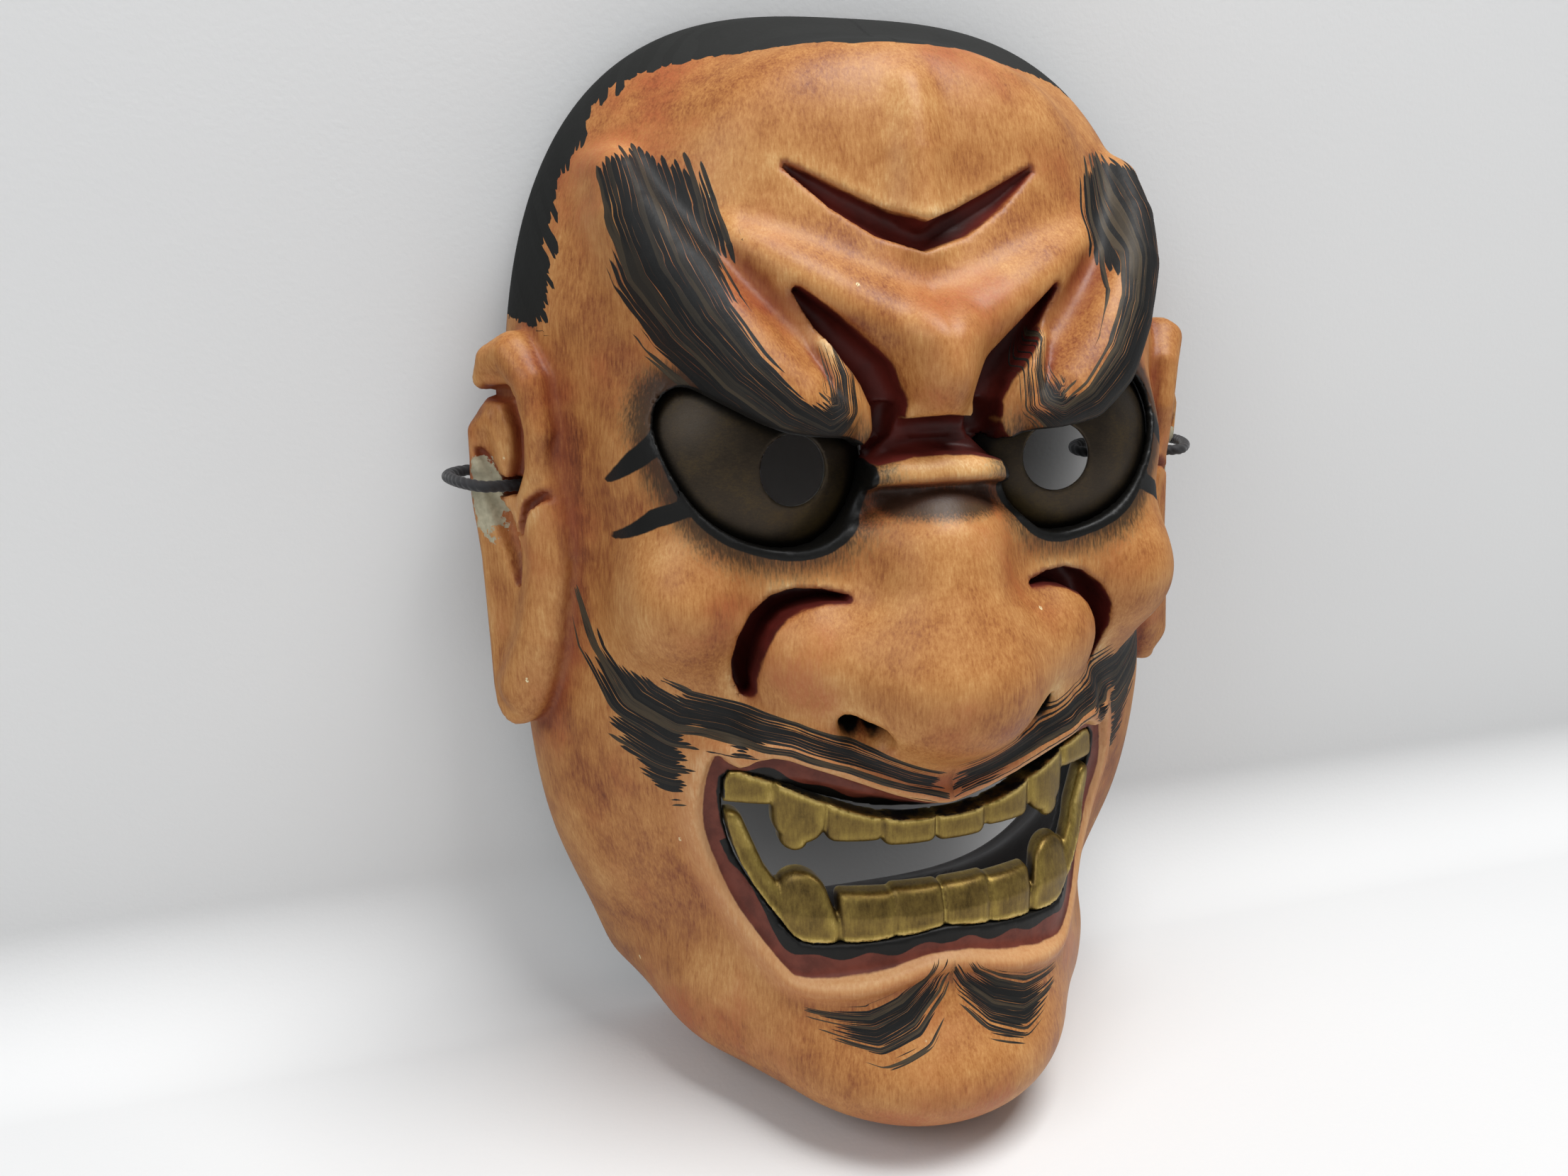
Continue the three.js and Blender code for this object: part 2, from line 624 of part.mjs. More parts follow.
function bar(start, end, radius) {
  const from = new THREE.Vector3(...start);
  const along = new THREE.Vector3(...end).sub(from);
  const geometry = new THREE.CylinderGeometry(radius, radius, along.length(), 12);
  geometry.translate(0, along.length() / 2, 0);
  geometry.applyQuaternion(new THREE.Quaternion().setFromUnitVectors(
    new THREE.Vector3(0, 1, 0),
    along.normalize(),
  ));
  geometry.translate(...start);
  return solidOf(geometry);
}

// ---------------------------------------------------------------- the carved block
function buildBody() {
  const block = (x, y, z) => Math.max(faceDistance(x, y, z), y - 3);
  const carved = surfaceOf(block, [-94, -88, -125], [94, 8, 116], FACE_GRID);
  let body = solidOf(simplified(carved, FACE_TRIANGLES));
  body = body.subtract(box([-100, 0, -130], [100, 20, 130]));
  const hollow = (x, y, z) => Math.max(hollowDistance(x, y, z), y - 6);
  const inside = surfaceOf(hollow, [-80, -72, -116], [80, 20, 116], HOLLOW_GRID);
  body = body.subtract(solidOf(simplified(inside, HOLLOW_TRIANGLES)));
  const [cu, cy, cz] = EYE_CENTRE;
  const bed = insetOutline(EYE_OUTLINE, -PLATE_MARGIN - FIT_GAP);
  for (const side of [1, -1]) {
    const opening = EYE_OUTLINE.map(([u, z]) => [side * u, z]);
    const wide = bed.map(([u, z]) => [side * u, z]);
    const ball = sphere([side * cu, cy, cz], EYE_RADIUS + FIT_GAP + 0.2, 36, 24);
    body = body.subtract(prism(opening, -95, -20));
    body = body.subtract(prism(wide, -64, 1).intersect(ball));
    const drill = bar(mirrored(side, CORD_HOLE_OUTER), mirrored(side, CORD_HOLE_INNER), CORD_HOLE_RADIUS);
    body = body.subtract(drill);
  }
  return body.subtract(prism(GAP_OUTLINE_WHOLE, -95, 5));
}

// ---------------------------------------------------------------- eye plates
function buildEye(side) {
  const hole = Math.asin(PUPIL_RADIUS / EYE_RADIUS);
  const edge = 1.12;
  const steps = 6;
  const profile = [];
  for (let i = 0; i <= steps; i += 1) {
    const angle = hole + ((edge - hole) * i) / steps;
    profile.push(new THREE.Vector2(EYE_RADIUS * Math.sin(angle), EYE_RADIUS * Math.cos(angle)));
  }
  const inner = EYE_RADIUS - EYE_PLATE_THICKNESS;
  for (let i = steps; i >= 0; i -= 1) {
    const angle = hole + ((edge - hole) * i) / steps;
    profile.push(new THREE.Vector2(inner * Math.sin(angle), inner * Math.cos(angle)));
  }
  profile.push(profile[0].clone());
  profile.reverse();
  const geometry = new THREE.LatheGeometry(profile, 28);
  const [cu, cy, cz] = EYE_CENTRE;
  const du = PUPIL_AIM[0] - cu;
  const dz = PUPIL_AIM[1] - cz;
  const aim = new THREE.Vector3(side * du, -Math.sqrt(EYE_RADIUS ** 2 - du * du - dz * dz), dz).normalize();
  geometry.applyQuaternion(new THREE.Quaternion().setFromUnitVectors(new THREE.Vector3(0, 1, 0), aim));
  geometry.translate(side * cu, cy, cz);
  const outline = insetOutline(EYE_OUTLINE, -PLATE_MARGIN).map(([u, z]) => [side * u, z]);
  return geometryOf(solidOf(geometry).intersect(prism(outline, -64, -5)));
}

// ---------------------------------------------------------------- teeth rows
function toothBlock(centre, halfWidth, top, bottom, corner, u, z) {
  const a = Math.abs(u - centre) - halfWidth + corner;
  const b = Math.abs(z - (top + bottom) / 2) - (top - bottom) / 2 + corner;
  return Math.min(Math.max(a, b), 0) + hypot(Math.max(a, 0), Math.max(b, 0)) - corner;
}

function rowDistance(outlineOfRow, x, y, z) {
  const u = Math.abs(x);
  const front = teethFront(u, z);
  const shape = outlineOfRow(u, z);
  const thickness = Math.abs(y - front - TEETH_THICKNESS / 2) - TEETH_THICKNESS / 2;
  const row = smoothMax(shape, thickness, 1.8);
  return Math.max(row, polygonDistance(GAP_OUTLINE_WHOLE, u, z) + FIT_GAP);
}

function upperOutline(u, z) {
  const middle = toothBlock(5.4, 5.7, -40, -55.4, 2, u, z);
  const front = smoothMin(middle, toothBlock(16.2, 5.7, -38, -54.2, 2, u, z), 0.8);
  const fang = strokeDistance([[26.4, -45, 5.3], [26.6, -49.6, 5], [27.8, -53.6, 2.6]], u, z, 0, 0, 0);
  const side = toothBlock(36.6, 5.8, -34, -46.8, 2, u, z);
  return smoothMin(smoothMin(front, fang, 1), side, 1);
}

function lowerOutline(u, z) {
  const middle = toothBlock(5.1, 5.4, -63, -80, 1.4, u, z);
  const front = smoothMin(middle, toothBlock(15.2, 5.5, -63.6, -80, 1.4, u, z), 0.8);
  const fang = strokeDistance([[26, -71, 5.6], [27, -64.6, 4.7]], u, z, 0, 0, 0);
  const side = strokeDistance([[31, -69, 3.2], [36, -60.5, 2.8], [39, -50.6, 2.1]], u, z, 0, 0, 0);
  return smoothMin(smoothMin(front, fang, 1), side, 1);
}

function buildTeeth(outlineOfRow, low, high) {
  const surface = surfaceOf((x, y, z) => rowDistance(outlineOfRow, x, y, z), low, high, TEETH_GRID);
  return simplified(surface, TEETH_TRIANGLES);
}

// ---------------------------------------------------------------- cord
const KNOT = [72.5, 4.7, 5.4];
const LOOP_ROUTE = [
  [70.9, 4.7, 8.8], [70.2, 4.8, 12.4], [66.6, 4.6, 14.2], [62, 2, 14], [60.2, -2.6, 13.4],
  [62.6, -6.4, 13.1], [71, -10.1, 13.4], [78, -13.1, 13.7], [81.2, -13.9, 13.9], [84.6, -11, 14.3],
  [87.2, -6, 14.6], [88.2, -0.8, 14.8], [86, 3.6, 15], [80.4, 5, 15], [75.4, 4.9, 12.8],
  [74.1, 4.7, 8.8],
];
const SPAN_ENDS = [72, 5, 1.0];
const SPAN_MIDDLE = [0, 6, -28];

function tube(points, steps) {
  const curve = new THREE.CatmullRomCurve3(points.map((point) => new THREE.Vector3(...point)));
  const section = new THREE.Shape();
  for (let i = 0; i < 8; i += 1) {
    const angle = (i * Math.PI) / 4;
    const [a, b] = [(CORD_DIAMETER / 2) * Math.cos(angle), (CORD_DIAMETER / 2) * Math.sin(angle)];
    if (i === 0) {
      section.moveTo(a, b);
    } else {
      section.lineTo(a, b);
    }
  }
  const geometry = new THREE.ExtrudeGeometry(section, { steps, extrudePath: curve, bevelEnabled: false });
  return geometryOf(solidOf(geometry));
}

function mirrored(side, point) {
  return [side * point[0], point[1], point[2]];
}

function spanRoute() {
  const route = [];
  for (let i = 0; i <= 12; i += 1) {
    const t = (i / 6) - 1;
    route.push([
      t * SPAN_ENDS[0],
      SPAN_MIDDLE[1] + (SPAN_ENDS[1] - SPAN_MIDDLE[1]) * t * t,
      SPAN_MIDDLE[2] + (SPAN_ENDS[2] - SPAN_MIDDLE[2]) * t * t,
    ]);
  }
  return route;
}

// A barrel knot: three wraps of cord lying side by side.
function buildKnot(side) {
  const profile = [
    [0, -3], [1.7, -2.8], [2.5, -1.9], [2.1, -1], [2.7, 0], [2.1, 1], [2.5, 1.9], [1.7, 2.8], [0, 3],
  ];
  const geometry = new THREE.LatheGeometry(profile.map(([r, h]) => new THREE.Vector2(r, h)), 12);
  geometry.rotateX(Math.PI / 2);
  geometry.translate(...mirrored(side, KNOT));
  return geometryOf(solidOf(geometry));
}

// ---------------------------------------------------------------- materials and scene graph
function paint(color, roughness, metalness) {
  return new THREE.MeshStandardMaterial({ color, roughness, metalness });
}

const MOUTH_OUTLINE_WHOLE = mirrorOutline(MOUTH_OUTLINE);
const GAP_OUTLINE_WHOLE = mirrorOutline(GAP_OUTLINE);
const woodPaint = paint('#bd8755', 0.5, 0);
const eyeGilt = paint('#4c4430', 0.42, 0.7);
const teethGilt = paint('#8f7c3a', 0.4, 0.75);
const cordBlack = paint('#17161a', 0.8, 0);
const mask = new THREE.Group();

function place(name, geometry, material) {
  const mesh = new THREE.Mesh(geometry, material);
  mesh.name = name;
  mask.add(mesh);
}

place('mask_body', geometryOf(buildBody()), woodPaint);
place('upper_teeth', buildTeeth(upperOutline, [-46, -68, -64], [46, -36, -34]), teethGilt);
place('lower_teeth', buildTeeth(lowerOutline, [-46, -74, -80], [46, -38, -44]), teethGilt);
for (const [word, side] of [['left', -1], ['right', 1]]) {
  place(`${word}_eye`, buildEye(side), eyeGilt);
  place(`${word}_ear_loop`, tube(LOOP_ROUTE.map((point) => mirrored(side, point)), 26), cordBlack);
  place(`${word}_knot`, buildKnot(side), cordBlack);
}
place('ear_cord', tube(spanRoute(), 30), cordBlack);

export default mask;
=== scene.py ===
"""A carved and painted noh mask of a scowling, fanged demon: painted wood with gilt eye plates and teeth."""
import math

import bpy
import numpy as np
from mathutils import Matrix, Vector
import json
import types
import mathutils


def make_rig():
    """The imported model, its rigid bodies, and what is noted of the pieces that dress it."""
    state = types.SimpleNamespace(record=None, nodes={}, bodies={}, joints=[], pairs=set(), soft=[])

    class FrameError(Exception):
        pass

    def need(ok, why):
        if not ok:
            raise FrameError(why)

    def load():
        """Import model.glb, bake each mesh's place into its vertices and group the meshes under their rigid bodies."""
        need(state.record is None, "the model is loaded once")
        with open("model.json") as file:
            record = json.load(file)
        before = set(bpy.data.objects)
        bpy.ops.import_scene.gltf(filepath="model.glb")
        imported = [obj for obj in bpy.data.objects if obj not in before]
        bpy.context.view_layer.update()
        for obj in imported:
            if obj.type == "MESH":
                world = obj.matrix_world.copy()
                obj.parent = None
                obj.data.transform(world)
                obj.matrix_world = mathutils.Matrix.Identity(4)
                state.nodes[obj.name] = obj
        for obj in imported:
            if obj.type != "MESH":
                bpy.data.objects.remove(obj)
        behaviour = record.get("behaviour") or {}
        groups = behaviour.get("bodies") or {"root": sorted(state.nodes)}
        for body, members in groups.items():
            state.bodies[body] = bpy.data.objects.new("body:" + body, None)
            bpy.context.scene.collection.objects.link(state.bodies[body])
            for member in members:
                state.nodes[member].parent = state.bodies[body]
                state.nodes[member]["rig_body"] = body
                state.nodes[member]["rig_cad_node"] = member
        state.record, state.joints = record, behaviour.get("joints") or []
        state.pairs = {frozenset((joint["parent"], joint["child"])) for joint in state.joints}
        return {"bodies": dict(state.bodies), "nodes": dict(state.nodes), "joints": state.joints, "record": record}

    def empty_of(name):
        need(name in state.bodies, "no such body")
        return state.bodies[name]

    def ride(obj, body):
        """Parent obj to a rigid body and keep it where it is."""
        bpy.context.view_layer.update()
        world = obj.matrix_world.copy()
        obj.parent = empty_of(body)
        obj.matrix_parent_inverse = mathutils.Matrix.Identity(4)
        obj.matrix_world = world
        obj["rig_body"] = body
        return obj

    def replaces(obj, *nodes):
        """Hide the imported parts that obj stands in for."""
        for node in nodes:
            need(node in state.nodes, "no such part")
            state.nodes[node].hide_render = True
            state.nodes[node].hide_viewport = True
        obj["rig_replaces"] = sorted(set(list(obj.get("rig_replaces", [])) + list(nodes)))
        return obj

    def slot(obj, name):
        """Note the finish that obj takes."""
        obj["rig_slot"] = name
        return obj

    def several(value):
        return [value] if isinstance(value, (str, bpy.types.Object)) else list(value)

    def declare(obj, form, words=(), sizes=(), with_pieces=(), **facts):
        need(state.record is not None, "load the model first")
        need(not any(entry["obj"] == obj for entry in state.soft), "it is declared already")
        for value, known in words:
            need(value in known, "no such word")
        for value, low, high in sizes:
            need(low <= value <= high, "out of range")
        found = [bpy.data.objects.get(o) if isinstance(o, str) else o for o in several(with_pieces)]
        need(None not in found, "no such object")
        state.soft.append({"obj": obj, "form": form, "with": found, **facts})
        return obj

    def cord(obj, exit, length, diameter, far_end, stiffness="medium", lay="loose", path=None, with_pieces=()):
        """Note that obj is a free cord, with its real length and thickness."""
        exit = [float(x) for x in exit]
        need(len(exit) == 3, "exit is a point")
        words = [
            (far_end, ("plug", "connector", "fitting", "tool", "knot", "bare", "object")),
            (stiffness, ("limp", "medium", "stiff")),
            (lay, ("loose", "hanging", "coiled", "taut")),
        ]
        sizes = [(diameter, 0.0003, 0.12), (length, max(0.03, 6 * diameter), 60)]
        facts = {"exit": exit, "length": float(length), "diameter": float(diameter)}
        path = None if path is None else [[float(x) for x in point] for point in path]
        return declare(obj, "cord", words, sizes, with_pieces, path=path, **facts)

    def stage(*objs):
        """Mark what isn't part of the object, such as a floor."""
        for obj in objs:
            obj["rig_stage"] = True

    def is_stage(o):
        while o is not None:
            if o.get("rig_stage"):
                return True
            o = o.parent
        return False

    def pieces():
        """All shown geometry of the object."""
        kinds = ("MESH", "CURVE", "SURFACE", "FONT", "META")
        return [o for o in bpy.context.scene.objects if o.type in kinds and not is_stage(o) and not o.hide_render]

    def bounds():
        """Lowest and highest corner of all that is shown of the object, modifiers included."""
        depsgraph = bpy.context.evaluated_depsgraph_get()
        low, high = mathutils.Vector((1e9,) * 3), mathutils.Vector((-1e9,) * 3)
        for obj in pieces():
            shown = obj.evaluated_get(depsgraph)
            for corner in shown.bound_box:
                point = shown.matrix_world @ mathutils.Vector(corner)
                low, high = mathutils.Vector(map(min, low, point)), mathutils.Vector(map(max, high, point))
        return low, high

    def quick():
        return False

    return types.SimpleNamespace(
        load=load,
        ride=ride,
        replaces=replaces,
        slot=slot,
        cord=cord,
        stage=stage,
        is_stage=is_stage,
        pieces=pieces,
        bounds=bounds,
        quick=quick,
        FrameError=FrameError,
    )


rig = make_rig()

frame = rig.load()
cad_low, cad_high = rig.bounds()
MM = 0.001
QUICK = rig.quick()
# Steps of the grids that the pieces are meshed on, in millimetres.
GRID = 1.5 if QUICK else 0.92
PLATE_GRID = 0.7 if QUICK else 0.45
TEETH_GRID = 0.8 if QUICK else 0.5
scene = bpy.context.scene


def placed(name, data):
    thing = bpy.data.objects.new(name, data)
    scene.collection.objects.link(thing)
    return thing


def stands_for(piece, node, slot):
    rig.replaces(piece, node)
    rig.ride(piece, "root")
    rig.slot(piece, slot)


# ---- camera
CAMERA_AT = (-0.08648, -0.26088, 0.04885)
CAMERA_LOOK = (0.2603, 0.9371, -0.2327)
CAMERA_UP = (0.0779, 0.2198, 0.9724)
CAMERA_LENS = 27.06
SENSOR_WIDTH = 36
camera = placed("camera", bpy.data.cameras.new("camera"))
back = -Vector(CAMERA_LOOK).normalized()
right = Vector(CAMERA_UP).cross(back).normalized()
turn = Matrix((right, back.cross(right), back)).transposed()
camera.matrix_world = Matrix.Translation(CAMERA_AT) @ turn.to_4x4()
camera.data.lens = CAMERA_LENS
camera.data.sensor_width = SENSOR_WIDTH
camera.data.clip_start = 0.01
scene.camera = camera


# ---- the carving, in millimetres
# The carving is symmetrical: most shapes are written in (u, z) with u = |x|. In a path, the third number of
# a point is the half-width there.
EYE_CENTRE = (31.0, -27.0, 18.0)
EYE_RADIUS = 28.0
LID = 2.3  # how far the eyeball swells past the plate
SEAT = 2.3  # how far the seat of the plate reaches past the opening
PUPIL_RADIUS = 6.6
PUPIL_AIM = (26.6, 19.5)
EYE_OUTLINE = [
    (13.6, 22), (14.8, 14.4), (19.8, 7.4), (26.8, 4.8), (36, 6.7), (43.6, 11.6),
    (48.8, 19.2), (51.2, 27), (49.8, 32.4), (45.5, 34.8), (38.9, 31.5), (29.9, 27), (19, 25.5),
]
MOUTH_OUTLINE = [
    (0, -45.5), (7.2, -44), (16.5, -39.7), (25.4, -36), (32.9, -34.2), (38.2, -37.8), (42.2, -35.8),
    (44.8, -46.7), (44, -55.1), (40.6, -65.8), (36.4, -73.2), (31.2, -79.8), (27.4, -81.4),
    (14.3, -79.2), (0, -76.4),
]
GAP_OUTLINE = [
    (0, -49.5), (11, -48.8), (21.5, -45.5), (31, -41.5), (39.5, -39.8), (40.6, -48), (38, -59.5),
    (32, -69), (28, -73.5), (20.5, -73.6), (10, -72.6), (0, -71.2),
]
EAR_OUTLINE = [
    (6.5, 36.5), (10.5, 42.5), (15.6, 45), (22.2, 41.8), (25.4, 37), (22.8, 32.4), (27, 28), (30, 19.5),
    (30.4, 10), (28.6, -1.6), (27.8, -20.6), (27, -35), (21.6, -39.4), (14.6, -35.4), (9.3, -28),
    (5.6, -17.5), (2.4, -3.7), (2, 8), (4.4, 16.3), (5.2, 24.7),
]
FOREHEAD_CREASE = [(0, 88, 1.5), (0, 76, 3.6), (0, 64.5, 4.4)]
FOREHEAD_V = [(0, 60.8, 2.6), (8, 63.4, 2.6), (16, 67.8, 2.0), (24.6, 73.6, 0.5)]
FROWN_RIDGE = [(0, 38, 6.5), (6, 45, 6), (15, 49.5, 5), (26, 55.5, 4), (35, 61, 2)]
BRIDGE_STRIP = [(0, 30.5, 6), (0, 43, 7)]
FROWN_FURROW = [
    (25.6, 51.6, 0.6), (20.6, 46, 2), (16.2, 41, 2.9), (12, 36.6, 3.3), (9.8, 31.6, 3.2),
    (10, 26.6, 2.8), (13, 21.8, 1.2),
]
BROW = [
    (54, 74, 4), (52.5, 66, 6), (48.5, 57, 7.6), (42.5, 47.5, 8.4), (35.5, 39.2, 8.2),
    (28.5, 33, 7.4), (22.6, 29.2, 5.6), (19.6, 31.2, 3.6), (19.2, 36.5, 2.6), (20.4, 41.5, 1.4),
]
ROOT_BAND = [(0, 25.6, 3.6), (6, 25, 3.4), (12.5, 22.6, 2.4)]
ROOT_DIP = [(0, 14.5, 4), (10, 13.5, 4), (16, 12, 2)]
ROOT_BAR = [(0, 19.4, 2.7), (8, 18.8, 2.5), (13.5, 17.4, 1.6)]
CHEEK_CRESCENT = [
    (18.6, -3.9, 0.5), (23, -3.5, 1.1), (27.4, -3.9, 1.7), (31.2, -5.3, 2.1), (34.3, -7.9, 2.4),
    (36.3, -11.6, 2.5), (37.1, -15.6, 2.3), (37, -19.4, 1.8), (36.3, -22.2, 1.3),
]
LIP_FOLD = [
    (0, -40, 8.4), (13, -36.4, 8.4), (25, -32.2, 7.6), (33, -31, 5.6), (37.4, -33.6, 3.8),
    (38.2, -37, 2),
]
# The two wedges painted beside each eye; they are not cut.
LASH_UPPER = [(50.6, 25.4, 1.7), (54.6, 21.8, 1.5), (58.8, 17.4, 0.4)]
LASH_LOWER = [(46.6, 13.6, 1.6), (52, 11.2, 1.5), (58.2, 6.6, 0.4)]
# Each nostril is cut by two tapers: start, end and the radius at each.
NOSTRIL = [
    ((15.4, -68, -28.8), (15, -56, -21), 3.3, 2.2), ((19.2, -67, -28.4), (17.8, -56, -21), 3.1, 2.2),
]
# The ear is drawn in its own plane, with s along it and n out of it.
EAR_ORIGIN = (67.0, -28.5)
EAR_ALONG = (0.595, 0.804)
EAR_OUT = (0.804, -0.595)
EAR_THICKNESS = 10.0
EAR_HELIX = [
    (23.6, 35.4, 2.2), (20.4, 39, 3.3), (14.4, 40.2, 3.9), (8.8, 35, 3.7), (6.9, 25.4, 3.3),
    (8.4, 17.5, 2.7), (11.6, 12.4, 1.9), (15, 8.6, 0.8),
]
EAR_ANTIHELIX = [(25.6, 17, 2.6), (25, 24.4, 2.9), (21, 27.4, 2.4), (18.4, 22.6, 1.9), (17.6, 17, 1.3)]
EAR_LOBE = [(8.9, 10, 5), (8.5, -2.7, 5.4), (12, -17.5, 6.4), (18.5, -29.6, 6.6)]
EAR_CONCHA = [(21.4, 32.6, 1.4), (16, 32.4, 2.1), (12.8, 26.4, 2.6), (13, 19.4, 2.4), (15.6, 13.6, 1.7)]
EAR_LOWER_HOLLOW = [(23.4, 12, 1.6), (19, 6.4, 3.2), (16.4, 0.2, 2.6), (15.4, -6, 1.1)]
EAR_FOLD = [(24, 20.6, 1), (21.6, 16.6, 1.8), (21, 13.4, 1.5)]
EAR_TONGUE_EDGE = [(1.5, 12.8, 0.6), (6.5, 12.6, 1), (10.6, 10, 1.1), (13.4, 5, 1.1)]
EAR_VALLEY = [(64, 42, 1), (63, 26, 3), (62.5, 0, 3.4), (64.5, -22, 3), (70, -38, 1)]
CORD_HOLE = ((83.8, -15.6, 14.0), (58.0, -4.4, 13.0))
HOLE_RADIUS = 2.3


def smooth_min(a, b, k):
    h = np.maximum(k - np.abs(a - b), 0) / k
    return np.minimum(a, b) - h * h * k / 4


def smooth_max(a, b, k):
    return -smooth_min(-a, -b, k)


def mirrored(outline):
    return list(outline) + [(-u, z) for u, z in reversed(outline) if u > 0]


def rounded(outline, parts=4):
    """The same closed outline with smooth bends in place of corners."""
    p = np.array(outline, float)
    a, c, d = np.roll(p, 1, 0), np.roll(p, -1, 0), np.roll(p, -2, 0)
    result = []
    for i in range(parts):
        t = i / parts
        bend = a - 2.5 * p + 2 * c - d / 2 + t * (1.5 * (p - c) + (d - a) / 2)
        result.append(p + t * ((c - a) / 2 + t * bend))
    return [tuple(q) for q in np.stack(result, axis=1).reshape(-1, 2)]


def polygon(points, u, z):
    """Signed distance to a closed outline, negative inside."""
    best = np.full(u.shape, 1e9, u.dtype)
    inside = np.zeros(u.shape, bool)
    for (ax, az), (bx, bz) in zip(points[-1:] + points[:-1], points):
        ex, ez = bx - ax, bz - az
        t = np.clip(((u - ax) * ex + (z - az) * ez) / (ex * ex + ez * ez), 0, 1)
        best = np.minimum(best, np.hypot(u - ax - t * ex, z - az - t * ez))
        if az != bz:
            inside ^= ((az > z) != (bz > z)) & (u < ax + (z - az) / (bz - az) * ex)
    return np.where(inside, -best, best)


def flow(path, u, z):
    """Along, across, half-width and distance for a bent path that is carried straight on past its ends."""
    best = np.full(u.shape, 1e9)
    along, across, radius = np.zeros(u.shape), np.zeros(u.shape), np.ones(u.shape)
    done = 0.0
    last = len(path) - 2
    for i, (a, b) in enumerate(zip(path[:-1], path[1:])):
        ex, ez = b[0] - a[0], b[1] - a[1]
        length = math.hypot(ex, ez)
        raw = ((u - a[0]) * ex + (z - a[1]) * ez) / length**2
        t = np.clip(raw, 0, 1)
        far = np.hypot(u - a[0] - t * ex, z - a[1] - t * ez)
        free = np.clip(raw, -9 if i == 0 else 0, 9 if i == last else 1)
        du, dz = u - a[0] - free * ex, z - a[1] - free * ez
        side = np.sign(du * ez - dz * ex) * np.hypot(du, dz)
        near = far < best
        best = np.where(near, far, best)
        along = np.where(near, done + free * length, along)
        across = np.where(near, side, across)
        radius = np.where(near, a[2] + t * (b[2] - a[2]), radius)
        done += length
    return along, across, radius, best


def stroke(path, u, z, surface, lift, reach):
    """A round bead along a path on the surface: lift raises it, reach stretches it down into the wood."""
    above = surface - lift
    height = np.where(above < 0, np.minimum(above + reach, 0), above)
    best = np.full(u.shape, 1e9, u.dtype)
    for a, b in zip(path[:-1], path[1:]):
        ex, ez = b[0] - a[0], b[1] - a[1]
        t = np.clip(((u - a[0]) * ex + (z - a[1]) * ez) / (ex * ex + ez * ez), 0, 1)
        flat = np.hypot(u - a[0] - t * ex, z - a[1] - t * ez)
        best = np.minimum(best, np.hypot(flat, height) - a[2] - t * (b[2] - a[2]))
    return best


def ball(centre, radii, u, y, z):
    a, b, c = (u - centre[0]) / radii[0], (y - centre[1]) / radii[1], (z - centre[2]) / radii[2]
    size = np.sqrt(a * a + b * b + c * c)
    steep = np.sqrt((a / radii[0]) ** 2 + (b / radii[1]) ** 2 + (c / radii[2]) ** 2)
    return np.where(steep < 1e-6, -min(radii), size * (size - 1) / np.maximum(steep, 1e-6))


def taper(start, end, r0, r1, u, y, z):
    e = [end[i] - start[i] for i in range(3)]
    q = [u - start[0], y - start[1], z - start[2]]
    t = np.clip((q[0] * e[0] + q[1] * e[1] + q[2] * e[2]) / sum(v * v for v in e), 0, 1)
    return np.sqrt(sum((q[i] - t * e[i]) ** 2 for i in range(3))) - r0 - t * (r1 - r0)


def dome(half_width, up, half_low, down, depth, u, y, z):
    upper = z >= 0
    power = np.where(upper, 2.95, 3.5).astype(u.dtype)
    wide = np.where(upper, half_width, half_low).astype(u.dtype)
    tall = np.where(upper, up, down).astype(u.dtype)
    a, c = u / wide, np.abs(z) / tall
    ap, cp = np.power(a, power - 1), np.power(c, power - 1)
    gauge = np.maximum(np.power(ap * a + cp * c, 1 / power), 0.01)
    front = np.maximum(-y, 0) / depth
    radial = 2.2 * np.power(gauge, 2.2 - power)
    slope_y = 1.6 * np.power(np.maximum(front, 0.02), 0.6) / depth
    field = np.power(gauge, 2.2) + np.power(front, 1.6) - 1
    return field / np.sqrt((radial * ap / wide) ** 2 + slope_y**2 + (radial * cp / tall) ** 2)


def squared_ball(centre, radii, power, u, y, z):
    """A ball squared off towards a box; at power 2 it would be a plain ellipsoid."""
    a = (u / radii[0], np.abs(y - centre[1]) / radii[1], np.abs(z - centre[2]) / radii[2])
    gauge = np.maximum((a[0] ** power + a[1] ** power + a[2] ** power) ** (1 / power), 0.2)
    steep = np.sqrt(sum((a[i] ** (power - 1) / radii[i]) ** 2 for i in range(3)))
    return np.where(gauge <= 0.2, -20, (gauge - 1) * gauge ** (power - 1) / np.maximum(steep, 1e-6))


def ear_plane(u, y):
    du, dy = u - EAR_ORIGIN[0], y - EAR_ORIGIN[1]
    return du * EAR_ALONG[0] + dy * EAR_ALONG[1], du * EAR_OUT[0] + dy * EAR_OUT[1]


def ear(u, y, z):
    s, n = ear_plane(u, y)
    outline = polygon(EAR_ROUND, s, z)
    shape = smooth_max(outline, np.abs(n + EAR_THICKNESS / 2 + 0.5) - EAR_THICKNESS / 2, 3)
    for path, lift, k in ((EAR_HELIX, -1.8, 1), (EAR_ANTIHELIX, -1.6, 1.2), (EAR_LOBE, -4.4, 2)):
        shape = smooth_min(shape, stroke(path, s, z, n, lift, 3), k)
    for path, lift, reach, k in (
        (EAR_CONCHA, 0, 3, 1.2), (EAR_LOWER_HOLLOW, 0.4, 1.6, 0.8), (EAR_FOLD, 0.4, 0.8, 0.8),
        (EAR_TONGUE_EDGE, 0, 1, 0.6),
    ):
        shape = smooth_max(shape, -stroke(path, s, z, n, lift, reach), k)
    return shape


def teeth_front(u, z):
    lean = np.clip((-56 - z) / 12, 0, 1)
    return -60.5 - 5 * lean + (0.0078 + 0.001 * lean) * u * u


